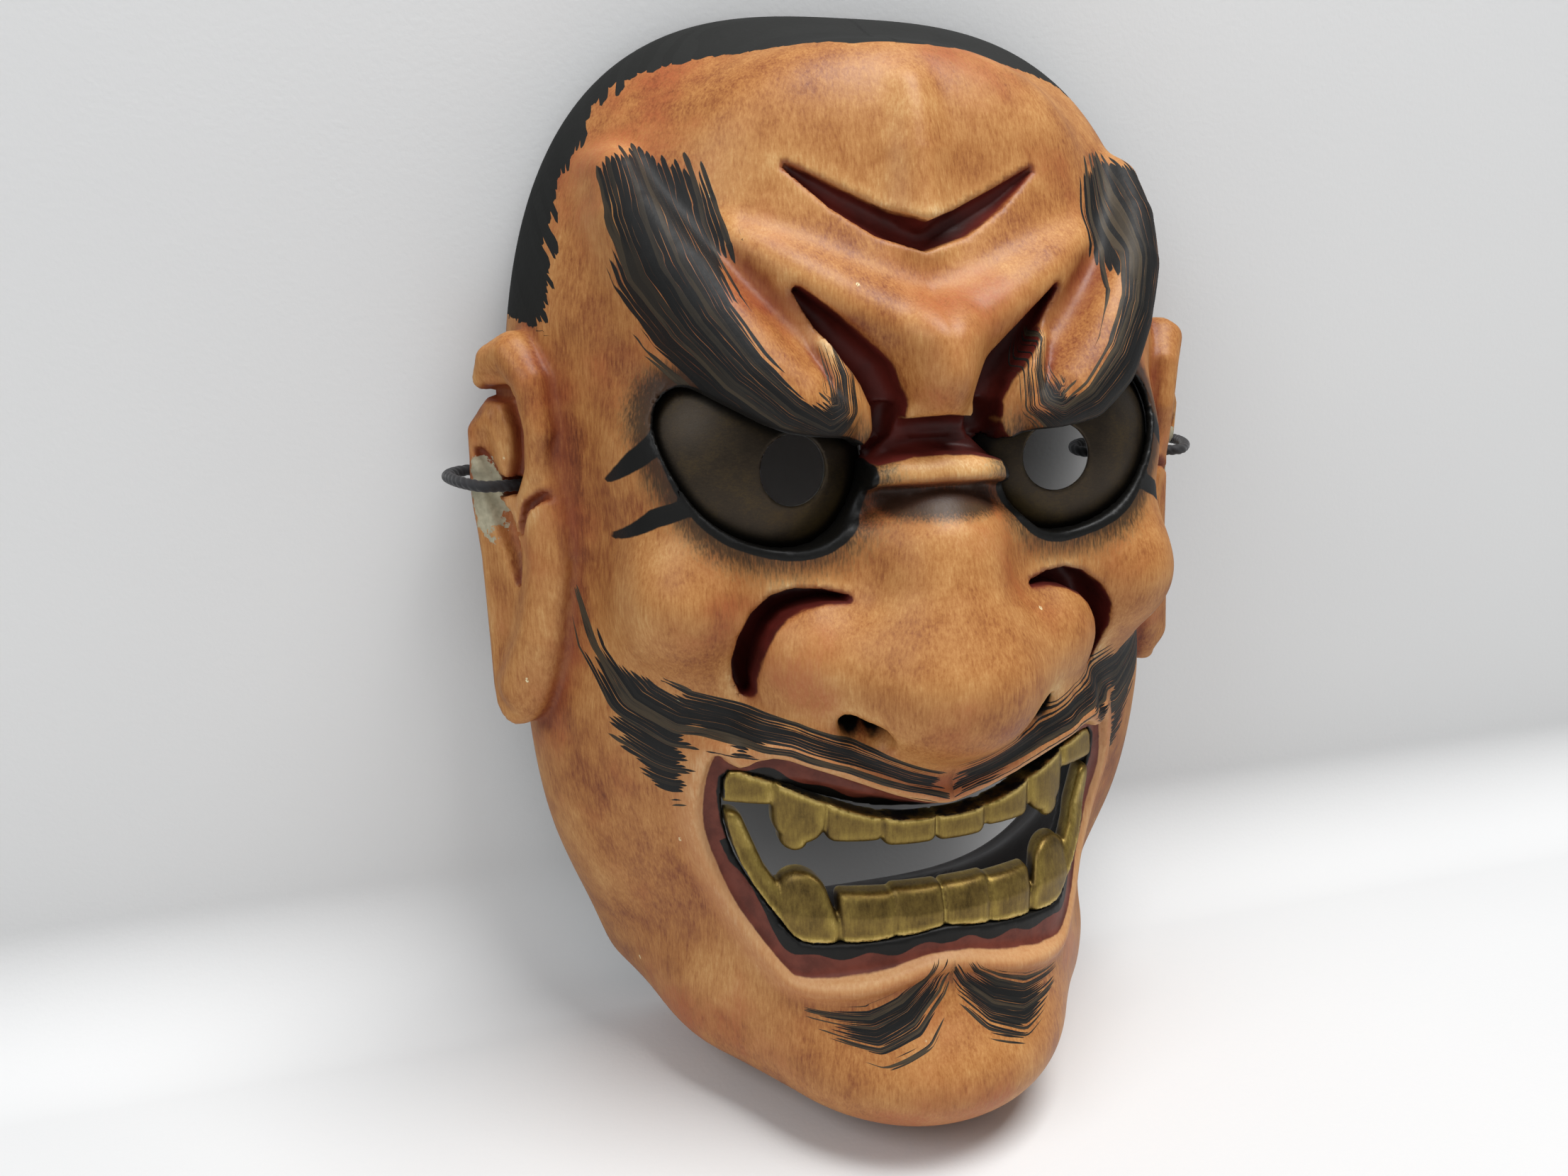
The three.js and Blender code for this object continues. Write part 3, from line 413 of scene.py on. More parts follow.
EYE_ROUND = rounded(EYE_OUTLINE)
MOUTH_WHOLE = rounded(mirrored(MOUTH_OUTLINE), 3)
GAP_WHOLE = rounded(mirrored(GAP_OUTLINE), 3)
EAR_ROUND = rounded(EAR_OUTLINE, 3)


def near_path(path, u, z, margin):
    us, zs = [p[0] for p in path], [p[1] for p in path]
    return (u > min(us) - margin) & (u < max(us) + margin) & (z > min(zs) - margin) & (z < max(zs) + margin)


def add_stroke(d, path, u, z, lift, reach, k, cut=False):
    where = near_path(path, u, z, max(p[2] for p in path) + k + 1)
    part = stroke(path, u[where], z[where], d[where], lift, reach)
    d[where] = smooth_max(d[where], -part, k) if cut else smooth_min(d[where], part, k)


def from_eye(u, y, z):
    return np.sqrt((u - EYE_CENTRE[0]) ** 2 + (y - EYE_CENTRE[1]) ** 2 + (z - EYE_CENTRE[2]) ** 2)


def face(u, y, z):
    """Signed distance of the carved front, before the hollow and the eye and mouth openings."""
    d = dome(76, 108.5, 75.5, 107, 60.5, u, y, z)
    d = smooth_min(d, ball((0, -30, 80), (33, 13, 17), u, y, z), 14)
    d = smooth_min(d, ball((0, -46, -100.9), (32.7, 31.8, 17.8), u, y, z), 12)
    d = smooth_min(d, squared_ball((0, -10.9, -97.2), (50, 41, 17.9), 3, u, y, z), 8)
    d = smooth_min(d, squared_ball((0, -10, -81.9), (60.9 + 0.44 * y, 56.8, 31.4), 4, u, y, z), 9)
    for path, lift, k in ((FOREHEAD_CREASE, -1, 6), (FROWN_RIDGE, -0.5, 5), (BRIDGE_STRIP, -3, 4)):
        add_stroke(d, path, u, z, lift, 0, k)
    d = smooth_min(d, from_eye(u, y, z) - EYE_RADIUS - LID, 4)
    d = smooth_min(d, ball((44.5, -40, -5.5), (14.8, 18.8, 15), u, y, z), 9)
    add_stroke(d, LIP_FOLD, u, z, 0, 0, 4)
    add_stroke(d, ROOT_DIP, u, z, 0, 2, 5, cut=True)
    bridge = taper((0, -48, 13), (0, -55.5, 1), 10, 13.5, u, y, z)
    tip = taper((0, -55.5, 1), (0, -64.6, -20.5), 13.8, 15, u, y, z)
    wing = taper((8, -62.5, -20), (22.5, -53.5, -16), 11, 12.4, u, y, z)
    d = smooth_min(d, smooth_min(smooth_min(bridge, tip, 4), wing, 9), 6)
    add_stroke(d, BROW, u, z, 1, 0, 5)
    add_stroke(d, ROOT_BAND, u, z, 0, 2.2, 1, cut=True)
    add_stroke(d, ROOT_BAR, u, z, 0, 0, 1.5)
    for path, reach, k in ((FROWN_FURROW, 3, 1), (FOREHEAD_V, 1, 0.8), (CHEEK_CRESCENT, 5, 0.8)):
        add_stroke(d, path, u, z, 0, reach, k, cut=True)
    where = near_path(MOUTH_OUTLINE, u, z, 12)
    um, ym, zm, dm = u[where], y[where], z[where], d[where]
    lips = polygon(MOUTH_WHOLE, um, zm)
    dm = smooth_min(dm, np.hypot(lips - 1.5, dm) - 1.5, 2.4)
    gums = teeth_front(um, zm) - 0.6 - ym
    dm = smooth_max(dm, -smooth_max(lips - 0.4 * dm, -gums, 2), 1)
    d[where] = dm
    for start, end, wide, narrow in NOSTRIL:
        d = smooth_max(d, -taper(start, end, wide, narrow, u, y, z), 1.5)
    add_stroke(d, EAR_VALLEY, u, z, 2, 0, 5, cut=True)
    where = (u > 55) & (z > -50) & (z < 56)
    d[where] = smooth_min(d[where], ear(u[where], y[where], z[where]), 1.2)
    return d


def hollow(u, y, z):
    shell = dome(65, 97, 64, 94, 47, u, y, z)
    return smooth_min(shell, ball((0, -24, -64), (46, 28, 33), u, y, z), 6)


def carving(x, y, z):
    """Signed distance of the whole wooden block: outer carving, hollow back and every opening."""
    u = np.abs(x)
    d = face(u, y, z)
    d = smooth_max(d, y, 1.0)
    d = smooth_max(d, -hollow(u, y, z), 1.5)
    where = near_path(EYE_OUTLINE, u, z, 6)
    ue, ye, ze = u[where], y[where], z[where]
    outline = polygon(EYE_ROUND, ue, ze)
    orb = from_eye(ue, ye, ze)
    de = smooth_max(d[where], -np.maximum(outline, ye + 20), 0.9)
    d[where] = np.maximum(de, -np.maximum(outline - SEAT, orb - EYE_RADIUS - 0.5))
    where = near_path(GAP_OUTLINE, u, z, 4)
    d[where] = smooth_max(d[where], -polygon(GAP_WHOLE, u[where], z[where]), 0.6)
    where = (u > 50) & (z > 5) & (z < 24)
    bore = taper(*CORD_HOLE, HOLE_RADIUS, HOLE_RADIUS, u[where], y[where], z[where])
    d[where] = smooth_max(d[where], -bore, 0.6)
    return d


# ---- from distances to meshes
def sampled(field, low, high, step, near=7.0):
    """The field on a grid, worked out exactly only in blocks of four nodes that lie near the surface."""
    lines = []
    for a, b in zip(low, high):
        count = 4 * math.ceil((b - a) / step / 4 + 0.25)
        lines.append(a + step * np.arange(count))
    middles = [line.reshape(-1, 4).mean(axis=1) for line in lines]
    blocks = np.meshgrid(*middles, indexing="ij")
    coarse = field(*[b.ravel() for b in blocks]).reshape(blocks[0].shape)
    values = coarse.repeat(4, 0).repeat(4, 1).repeat(4, 2)
    wanted = np.nonzero(np.abs(values) < near)
    for start in range(0, len(wanted[0]), 300000):
        part = tuple(w[start:start + 300000] for w in wanted)
        values[part] = field(*[line[w] for line, w in zip(lines, part)])
    return values


def surface_nets(values, low, step):
    """A closed quad surface where the grid of distances changes sign, one vertex in each crossed cell."""
    inside = values < 0
    size = inside.shape
    count = np.zeros([n - 1 for n in size], np.int8)
    for i, j, k in np.ndindex(2, 2, 2):
        count += inside[i:size[0] - 1 + i, j:size[1] - 1 + j, k:size[2] - 1 + k]
    crossed = (count > 0) & (count < 8)
    cells = np.argwhere(crossed)
    number = np.full(crossed.shape, -1, np.int64)
    number[crossed] = np.arange(len(cells))
    total = np.zeros((len(cells), 3))
    hits = np.zeros(len(cells))
    for axis in range(3):
        for shift in range(4):
            start = np.zeros(3, int)
            start[(axis + 1) % 3], start[(axis + 2) % 3] = shift % 2, shift // 2
            end = start.copy()
            end[axis] = 1
            va, vb = values[tuple((cells + start).T)], values[tuple((cells + end).T)]
            change = (va < 0) != (vb < 0)
            t = np.where(change, va / np.where(change, va - vb, 1), 0)
            total += np.where(change[:, None], cells + start + t[:, None] * (end - start), 0)
            hits += change
    vertices = np.asarray(low) + step * total / hits[:, None]
    quads = []
    for axis in range(3):
        b, c = (axis + 1) % 3, (axis + 2) % 3
        first = np.moveaxis(inside, axis, 0)
        change = np.moveaxis(first[:-1] != first[1:], 0, axis)
        edges = np.argwhere(change)
        eb, ec = edges[:, b], edges[:, c]
        edges = edges[(eb > 0) & (ec > 0) & (eb < size[b] - 1) & (ec < size[c] - 1)]
        corner = []
        for db, dc in ((-1, -1), (0, -1), (0, 0), (-1, 0)):
            cell = edges.copy()
            cell[:, b] += db
            cell[:, c] += dc
            corner.append(number[tuple(cell.T)])
        quad = np.stack(corner, axis=1)
        outward = inside[tuple(edges.T)]
        quads.append(np.where(outward[:, None], quad, quad[:, ::-1]))
    return vertices, np.concatenate(quads)


def slope(field, points, h=0.12):
    result = []
    for axis in range(3):
        offset = np.zeros(3)
        offset[axis] = h
        result.append(field(*(points + offset).T) - field(*(points - offset).T))
    return np.stack(result, axis=1) / (2 * h)


def facing(field, points, h):
    """The field's slope as a direction of length one."""
    grade = slope(field, points, h)
    return grade / np.maximum(np.linalg.norm(grade, axis=1), 1e-6)[:, None]


def settled(points, field, rounds, reach):
    """Moves net vertices onto the true surface, by no more than reach in a round."""
    for _ in range(rounds):
        grade = slope(field, points)
        steep = np.maximum((grade**2).sum(axis=1), 0.05)
        step = grade * (field(*points.T) / steep)[:, None]
        size = np.maximum(np.linalg.norm(step, axis=1), 1e-9)
        points = points - step * np.minimum(1, reach / size)[:, None]
    return points


def make_mesh(name, points, faces):
    """A mesh object from points in millimetres."""
    mesh = bpy.data.meshes.new(name)
    points = np.asarray(points, np.float32) * MM
    faces = np.asarray(faces, np.int32)
    mesh.vertices.add(len(points))
    mesh.vertices.foreach_set("co", points.ravel())
    mesh.loops.add(faces.size)
    mesh.loops.foreach_set("vertex_index", faces.ravel())
    mesh.polygons.add(len(faces))
    mesh.polygons.foreach_set("loop_start", np.arange(len(faces), dtype=np.int32) * faces.shape[1])
    mesh.polygons.foreach_set("use_smooth", np.full(len(faces), True))
    mesh.update(calc_edges=True)
    mesh.validate()
    return placed(name, mesh)


def add_field(piece, name, values):
    layer = piece.data.attributes.new(name, "FLOAT", "POINT")
    layer.data.foreach_set("value", np.asarray(values, np.float32))


def sculpted(name, field, low, high, step, mirror=False):
    """A piece meshed from its distance field. A mirrored field is worked out for x > 0 only."""
    low = list(low)
    if mirror:
        low[0] = step / 2
    values = sampled(field, low, high, step)
    if mirror:
        values = np.concatenate([values[::-1], values])
        low[0] = step / 2 - step * values.shape[0] / 2
    points, faces = surface_nets(values, low, step)
    points = settled(points, field, 2, 0.4 * step)
    return make_mesh(name, points, faces), points


# ---- the twisted cord
CORD_RADIUS = 1.25
KNOT = (72.5, 4.7, 5.4)
COIL_TURNS, COIL_STEPS = 3.05, 66
COIL_RADIUS, COIL_HEIGHT = 1.62, 4.1
LOOP_ROUTE = [
    (70.9, 4.7, 8.8), (70.2, 4.8, 12.4), (66.6, 4.6, 14.2), (62, 2, 14), (60.2, -2.6, 13.4),
    (62.6, -6.4, 13.1), (71, -10.1, 13.4), (78, -13.1, 13.7), (81.2, -13.9, 13.9), (84.6, -11, 14.3),
    (87.2, -6, 14.6), (88.2, -0.8, 14.8), (86, 3.6, 15), (80.4, 5, 15), (75.4, 4.9, 12.8),
    (74.1, 4.7, 8.8),
]
SPAN_ENDS = (72, 5, 1.0)
SPAN_MIDDLE = (0, 6, -28)
SPAN_POINTS = 13


def through(points, spacing):
    """A centripetal Catmull-Rom curve through the points, resampled evenly."""
    p = np.array(points, float)
    p = np.vstack([2 * p[0] - p[1], p, 2 * p[-1] - p[-2]])
    fine = []
    for i in range(1, len(p) - 2):
        a, b, c, d = p[i - 1:i + 3]
        t0, t1 = 0, math.sqrt(np.linalg.norm(b - a))
        t2 = t1 + math.sqrt(np.linalg.norm(c - b))
        t3 = t2 + math.sqrt(np.linalg.norm(d - c))
        for t in np.linspace(t1, t2, 40, endpoint=False):
            ab = (t1 - t) / (t1 - t0) * a + (t - t0) / (t1 - t0) * b
            bc = (t2 - t) / (t2 - t1) * b + (t - t1) / (t2 - t1) * c
            cd = (t3 - t) / (t3 - t2) * c + (t - t2) / (t3 - t2) * d
            abc = (t2 - t) / (t2 - t0) * ab + (t - t0) / (t2 - t0) * bc
            bcd = (t3 - t) / (t3 - t1) * bc + (t - t1) / (t3 - t1) * cd
            fine.append((t2 - t) / (t2 - t1) * abc + (t - t1) / (t2 - t1) * bcd)
    fine.append(p[-2])
    fine = np.array(fine)
    run = np.concatenate([[0], np.cumsum(np.linalg.norm(np.diff(fine, axis=0), axis=1))])
    count = max(int(run[-1] / spacing), 8)
    even = np.linspace(0, run[-1], count + 1)
    return np.stack([np.interp(even, run, fine[:, i]) for i in range(3)], axis=1), run[-1]


def twisted_tube(name, route, radius, strands=3, pitch=5.2, sides=24):
    """A closed tube of strands twisted together, with its fields for the fibre pattern."""
    line, length = through(route, 0.3)
    tangent = np.gradient(line, axis=0)
    tangent /= np.linalg.norm(tangent, axis=1)[:, None]
    across = np.cross(tangent[0], (0, 0, 1.0))
    if np.linalg.norm(across) < 0.2:
        across = np.cross(tangent[0], (0, 1.0, 0))
    points, way, winding = [], [], []
    angles = np.arange(sides) * 2 * math.pi / sides
    for i, (centre, along) in enumerate(zip(line, tangent)):
        across -= along * across.dot(along)
        across /= np.linalg.norm(across)
        other = np.cross(along, across)
        spin = 2 * math.pi * (length * i / (len(line) - 1)) / pitch
        bulge = np.abs(np.cos(strands * (angles - spin) / 2)) ** 0.7
        r = radius * (0.83 + 0.17 * bulge)
        spoke = np.cos(angles)[:, None] * across + np.sin(angles)[:, None] * other
        points.append(centre + r[:, None] * spoke)
        way.append(np.full(sides, length * i / (len(line) - 1)))
        winding.append((angles - spin) * strands / (2 * math.pi))
    rings = len(points)
    points = np.concatenate(points + [line[[0]], line[[-1]]])
    i, j = np.meshgrid(np.arange(rings - 1), np.arange(sides), indexing="ij")
    a, b = i * sides + j, i * sides + (j + 1) % sides
    quads = np.stack([a, b, b + sides, a + sides], axis=-1).reshape(-1, 4)
    start, end = rings * sides, rings * sides + 1
    j = np.arange(sides)
    k = (j + 1) % sides
    last = (rings - 1) * sides
    caps = np.concatenate([
        np.stack([k, j, np.full(sides, start)], axis=1),
        np.stack([last + j, last + k, np.full(sides, end)], axis=1),
    ])
    mesh = bpy.data.meshes.new(name)
    mesh.from_pydata((points * MM).tolist(), [], quads.tolist() + caps.tolist())
    mesh.polygons.foreach_set("use_smooth", np.full(len(mesh.polygons), True))
    mesh.update()
    piece = placed(name, mesh)
    add_field(piece, "way", np.append(np.concatenate(way), [0, length]))
    add_field(piece, "strand", np.append(np.concatenate(winding), [0, 0]))
    return piece, line, length


def flipped(points, side):
    return [(side * x, y, z) for x, y, z in points]


def knot(name, side):
    """A barrel knot: the tail of the cord wound three times round both ends of the loop."""
    coil = []
    for i in range(COIL_STEPS + 1):
        a = 2 * math.pi * COIL_TURNS * i / COIL_STEPS
        rise = (i / COIL_STEPS - 0.5) * COIL_HEIGHT
        out, aside = COIL_RADIUS * math.cos(a), COIL_RADIUS * math.sin(a)
        coil.append((side * (KNOT[0] + out), KNOT[1] + aside, KNOT[2] + rise))
    piece, _, _ = twisted_tube(name, coil, 1.02, pitch=3.8, sides=14)
    core = [(side * KNOT[0], KNOT[1], KNOT[2] + h) for h in (-2.9, -1, 1, 2.9)]
    middle, _, _ = twisted_tube(name + "_core", core, 0.9, pitch=4, sides=12)
    with bpy.context.temp_override(active_object=piece, selected_editable_objects=[piece, middle]):
        bpy.ops.object.join()
    return piece


knots = []
for name, node, side in (("left_knot_wraps", "left_knot", -1), ("right_knot_wraps", "right_knot", 1)):
    knots.append(knot(name, side))
    stands_for(knots[-1], node, "cord")

cord_pieces = list(knots)
span = []
for i in range(SPAN_POINTS):
    t = 2 * i / (SPAN_POINTS - 1) - 1
    span.append((t * SPAN_ENDS[0], SPAN_MIDDLE[1] + (SPAN_ENDS[1] - SPAN_MIDDLE[1]) * t * t,
                 SPAN_MIDDLE[2] + (SPAN_ENDS[2] - SPAN_MIDDLE[2]) * t * t))
for name, node, route, lay, tied in (
    ("left_ear_loop_cord", "left_ear_loop", flipped(LOOP_ROUTE, -1), "taut", []),
    ("right_ear_loop_cord", "right_ear_loop", flipped(LOOP_ROUTE, 1), "taut", []),
    ("ear_cord_span", "ear_cord", span, "hanging", knots),
):
    piece, line, length = twisted_tube(name, route, CORD_RADIUS)
    stands_for(piece, node, "cord")
    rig.cord(piece, exit=tuple(line[0] * MM), length=length * MM, diameter=2 * CORD_RADIUS * MM,
            far_end="object", stiffness="limp", lay=lay, with_pieces=tied,
            path=[tuple(p * MM) for p in line[::3]] + [tuple(line[-1] * MM)])
    cord_pieces.append(piece)


# ---- where the paint goes
# Painted hair: the middle line of each tuft as (u, z, half-width), in the direction of the brush.
BROW_FLOW = [
    (48.5, 77, 9.2), (47.4, 66, 10), (45.6, 57, 9.4), (41.6, 48, 8), (35.6, 39.4, 6.9), (28.6, 32.4, 5.4),
    (22.6, 28.6, 3.6), (19.0, 30.6, 2.4), (18.9, 36.5, 2.1), (20.4, 42, 1.6),
]
BROW_SHAPE = [
    (57.6, 71), (57.5, 64.8), (56.6, 55.7), (53.8, 47.3), (49.8, 40.3), (44.8, 33.9), (38, 27.8),
    (31.4, 24.4), (24.2, 23.6), (18.6, 26.2), (16.4, 32.6), (18, 38.8), (21, 43.4), (22.2, 36), (26.2, 33.2),
    (30.8, 39.4), (34.6, 46), (36.6, 53.4), (35.0, 61.2), (38.4, 74), (45.7, 77.6), (53, 78.4),
]
MOUSTACHE_FLOW = [
    (2, -41, 4), (8, -39, 4.4), (20, -33.6, 4.8), (30, -30.4, 5), (40, -29.2, 6.2), (48, -28.5, 8),
    (54.5, -25, 8.2), (60, -17, 6), (63.2, -6, 4),
]
MOUSTACHE_SHAPE = [
    (64, -6.6), (61.4, -14), (55, -20), (45.5, -22.2), (40.2, -22.6), (30.3, -25.4), (20, -28.6),
    (7.7, -34.4), (1.6, -37.6), (1.2, -44.6), (7.2, -45.4), (19, -41.2), (27.9, -36.2), (36.5, -35.6),
    (40.5, -36.4), (45.4, -32.8), (47, -40), (48.8, -48), (54.8, -42.4), (60.5, -33), (64.5, -18),
]
TUFT_FLOW = [(0, -77, 4), (3.4, -82.6, 4), (9, -87, 4.5), (16, -89.8, 4.5), (27, -89.4, 3)]
TUFT_SHAPE = [
    (0.4, -80.6), (2, -77.4), (6.8, -80.9), (16.5, -85.2), (27.2, -87.6), (21, -92.2), (14, -94.4),
    (7.5, -92), (3.3, -87.4),
]
# The hairline: its y at each angle, in degrees, from the ear up to the crown.
HAIRLINE = [
    (33, -20.4), (36.4, -20), (40.4, -19.2), (44.5, -18.4), (47.5, -17.6), (50.8, -16.6), (54.2, -14.6),
    (58, -12.8), (62, -14), (66.1, -17.3), (70.7, -20.8), (75.1, -25.4), (81.1, -32), (85.1, -35),
    (90, -35.2),
]
NO_HAIR = -20.0
NOT_HERE = -9.0  # the value of a paint field away from its mark


def soft_step(value, low, high):
    t = np.clip((value - low) / (high - low), 0, 1)
    return t * t * (3 - 2 * t)


def evened(piece, values, rounds):
    """Values averaged with their neighbours along the mesh's edges."""
    ends = np.zeros(len(piece.data.edges) * 2, np.int32)
    piece.data.edges.foreach_get("vertices", ends)
    a, b = ends[::2], ends[1::2]
    count = np.bincount(a, minlength=len(values)) + np.bincount(b, minlength=len(values))
    for _ in range(rounds):
        total = np.bincount(a, values[b], len(values)) + np.bincount(b, values[a], len(values))
        values = 0.4 * values + 0.6 * total / np.maximum(count, 1)
    return values


def paint_fields(piece, points):
    x, y, z = points.T
    u = np.abs(x)
    outer = soft_step(np.abs(hollow(u, y, z)), 0.7, 1.5) * soft_step(-y, 0.25, 0.9)

    angle = np.degrees(np.arctan2(z, u))
    hairline = np.interp(angle, *zip(*HAIRLINE))
    temple = soft_step(-angle, -66, -60)
    cap = np.where(angle > HAIRLINE[0][0], y - hairline, NO_HAIR)
    cap = np.minimum(cap, (z - 40.5 + 0.55 * (y + 17)) * 0.9)
    best, along, side = cap, 0.75 * y + 0.66 * z, 0.66 * y - 0.75 * z + 60
    spiky = 1.15 * temple + 0.12 * (1 - temple)
    on_cap = np.full(u.shape, 1.0)
    # Each tuft has its own range of along and side, so that no two share a bristle.
    for number, (shape, path) in enumerate((
        (BROW_SHAPE, BROW_FLOW), (MOUSTACHE_SHAPE, MOUSTACHE_FLOW), (TUFT_SHAPE, TUFT_FLOW),
    ), 1):
        edge = np.where(y < -6, -polygon(rounded(shape, 2), u, z), NO_HAIR)
        if shape is MOUSTACHE_SHAPE:
            edge = np.minimum(edge, 1.2 * (polygon(MOUTH_WHOLE, x, z) - 1.7))
        way, across, radius, _ = flow(path, u, z)
        near = edge > best
        best = np.where(near, edge, best)
        along = np.where(near, way + 100 * number, along)
        side = np.where(near, across / radius * 7 + 60 * number, side)
        spiky = np.where(near, 0.75, spiky)
        on_cap = np.where(near, 0.0, on_cap)
    add_field(piece, "hair", np.clip(best, -9, 9))
    add_field(piece, "along", along)
    add_field(piece, "side", side + 200 * (x > 0))
    add_field(piece, "spiky", spiky)
    add_field(piece, "cap", on_cap)

    red = np.full(u.shape, NOT_HERE)
    for path, extra in ((FOREHEAD_V, 0.1), (FROWN_FURROW, 0.35), (CHEEK_CRESCENT, 0.35), (ROOT_BAND, 0.2)):
        _, _, radius, far = flow(path, u, z)
        red = np.maximum(red, radius + extra - far)
    add_field(piece, "red", np.where(y < -20, red, NOT_HERE))

    eye = polygon(EYE_ROUND, u, z)
    heavy = soft_step(-z, -26, -8)
    rim = np.where(y < -14, 0.5 + 0.8 * heavy - np.abs(eye - 0.2 - 0.5 * heavy), NOT_HERE)
    for path in (LASH_UPPER, LASH_LOWER):
        _, _, radius, far = flow(path, u, z)
        rim = np.maximum(rim, radius + 0.3 - far)
    nostril = 3.2 - np.min([taper(start, end, 0, 0, u, y, z) for start, end, _, _ in NOSTRIL], axis=0)
    add_field(piece, "line", np.maximum(rim, nostril))
    below = soft_step(-z, -30, 4)
    smoke = soft_step(-eye, -9.0 - 2.0 * below, -0.8) * soft_step(-y, 10, 20)
    smoke *= 0.75 + 0.25 * soft_step(u, 26, 44)
    root = soft_step(-np.hypot(np.maximum(u - 9, 0) / 1.2, z - 13.6), -5.6, -1.0)
    add_field(piece, "smoke", np.maximum(smoke, root))

    lips = polygon(MOUTH_WHOLE, x, z)
    gap = polygon(GAP_WHOLE, x, z)
    front = teeth_front(u, z) - y
    add_field(piece, "lip", lips)
    within = (y < -20) & (lips < 4)
    add_field(piece, "mouth", np.where(within, -lips - 0.5, NOT_HERE))
    above = 2.1 + 0.6 * np.cos(2 * np.pi * u / 10.8)
    beneath = 2.7 + 0.6 * np.cos(2 * np.pi * u / 10.2)
    wave = np.where(z > -56, above, beneath) - 1.5 * soft_step(u, 31, 37)
    add_field(piece, "gum", np.where(within, np.minimum(wave - gap, (1.5 - front) * 1.5), NOT_HERE))

    def solid(a, b, c):
        return face(np.abs(a), b, c)

    there = np.stack([u, y, z], axis=1)
    normal = facing(solid, there, 0.25)
    # Ridges and edges are made lighter: partly paint rubbed thin, partly a painted highlight.
    wear_and_highlight = np.zeros(u.shape)
    # Creases and hollows are made darker: painted shade, with the darker glaze the paint has there.
    hollow_shade = np.zeros(u.shape)
    for reach, share in ((1.6, 0.5), (3.6, 0.5)):
        wear_and_highlight += share * (1 + solid(*(there - reach * normal).T) / reach)
        hollow_shade += share * (1 - solid(*(there + reach * normal).T) / reach)
    add_field(piece, "wear_and_highlight", evened(piece, np.clip(wear_and_highlight, 0, 1) * outer, 5))
    add_field(piece, "hollow_shade", evened(piece, np.clip(hollow_shade, 0, 1), 3))
    add_field(piece, "outer", outer)

    s, n = ear_plane(u, y)
    hole = np.sqrt((u - 82) ** 2 + (y + 14) ** 2 + (z - 11) ** 2)
    chipped = soft_step(-hole, -14, -4) * soft_step(s, 18, 22)
    add_field(piece, "chips", np.where((u > 60) & (np.abs(z) < 48), chipped, 0))


# ---- procedural materials
def tint(code):
    """A colour code as linear red, green, blue and alpha."""
    parts = [int(code[i:i + 2], 16) / 255 for i in (1, 3, 5)]
    return tuple(c / 12.92 if c <= 0.04045 else ((c + 0.055) / 1.055) ** 2.4 for c in parts) + (1.0,)


class Paint:
    """A node material under construction. Lengths in its nodes are millimetres, colours may be codes."""

    def __init__(self, name, **constants):
        self.material = bpy.data.materials.new(name)
        self.material.use_nodes = True
        self.tree = self.material.node_tree
        self.shader = self.tree.nodes["Principled BSDF"]
        self.finished(**constants)
        place = self.tree.nodes.new("ShaderNodeTexCoord")
        self.place = self.make("ShaderNodeVectorMath", {"operation": "SCALE"}, {
            0: place.outputs["Object"], "Scale": 1 / MM})

    def put(self, node, key, value):
        if isinstance(value, bpy.types.NodeSocket):
            self.tree.links.new(value, node.inputs[key])
        else:
            node.inputs[key].default_value = tint(value) if isinstance(value, str) else value

    def finished(self, **sockets):
        for key, value in sockets.items():
            self.put(self.shader, key.replace("_", " "), value)
        return self.material

    def make(self, kind, settings, inputs, out=0):
        node = self.tree.nodes.new(kind)
        for key, value in settings.items():
            setattr(node, key, value)
        for key, value in inputs.items():
            self.put(node, key, value)
        return node.outputs[out]

    def field(self, name):
        return self.make("ShaderNodeAttribute", {"attribute_name": name}, {}, "Fac")

    def math(self, operation, a, b=0.0, c=0.0, clamp=False):
        settings = {"operation": operation, "use_clamp": clamp}
        return self.make("ShaderNodeMath", settings, {0: a, 1: b, 2: c})

    def times(self, a, b):
        return self.math("MULTIPLY", a, b)

    def plus(self, first, value, weight, clamp=False):
        return self.math("ADD", first, self.times(value, weight), clamp=clamp)

    def minus(self, first, value, weight, clamp=False):
        return self.math("SUBTRACT", first, self.times(value, weight), clamp=clamp)

    def swing(self, value, weight):
        """weight times (value minus a half)."""
        return self.times(self.math("SUBTRACT", value, 0.5), weight)

    def together(self, x, y, z=0.0):
        return self.make("ShaderNodeCombineXYZ", {}, {0: x, 1: y, 2: z})

    def mapped(self, scale, turn=(0, 0, 0)):
        return self.make("ShaderNodeMapping", {}, {"Vector": self.place, "Rotation": turn, "Scale": scale})

    def noise(self, scale=1.0, detail=3.0, rough=0.5, source=None):
        return self.make("ShaderNodeTexNoise", {}, {
            "Vector": source or self.place, "Scale": scale, "Detail": detail, "Roughness": rough,
        })

    def step(self, value, low, high, start=0.0, end=1.0):
        return self.make("ShaderNodeMapRange", {"interpolation_type": "SMOOTHSTEP"}, {
            "Value": value, "From Min": low, "From Max": high, "To Min": start, "To Max": end,
        })

    def mix(self, factor, a, b):
        return self.make("ShaderNodeMix", {"data_type": "RGBA"}, {0: factor, 6: a, 7: b}, 2)

    def ramp(self, value, stops):
        node = self.tree.nodes.new("ShaderNodeValToRGB")
        self.put(node, 0, value)
        while len(node.color_ramp.elements) < len(stops):
            node.color_ramp.elements.new(0.5)
        for element, (at, code) in zip(node.color_ramp.elements, stops):
            element.position = at
            element.color = tint(code)
        return node.outputs[0]

    def bump(self, height, strength, distance, normal=None):
        inputs = {"Height": height, "Strength": strength, "Distance": distance * MM}
        if normal is not None:
            inputs["Normal"] = normal
        return self.make("ShaderNodeBump", {}, inputs)

    def total(self, first, *parts):
        """first plus weight times (value minus a half) for each part."""
        for value, weight in parts:
            first = self.math("ADD", first, self.swing(value, weight))
        return first


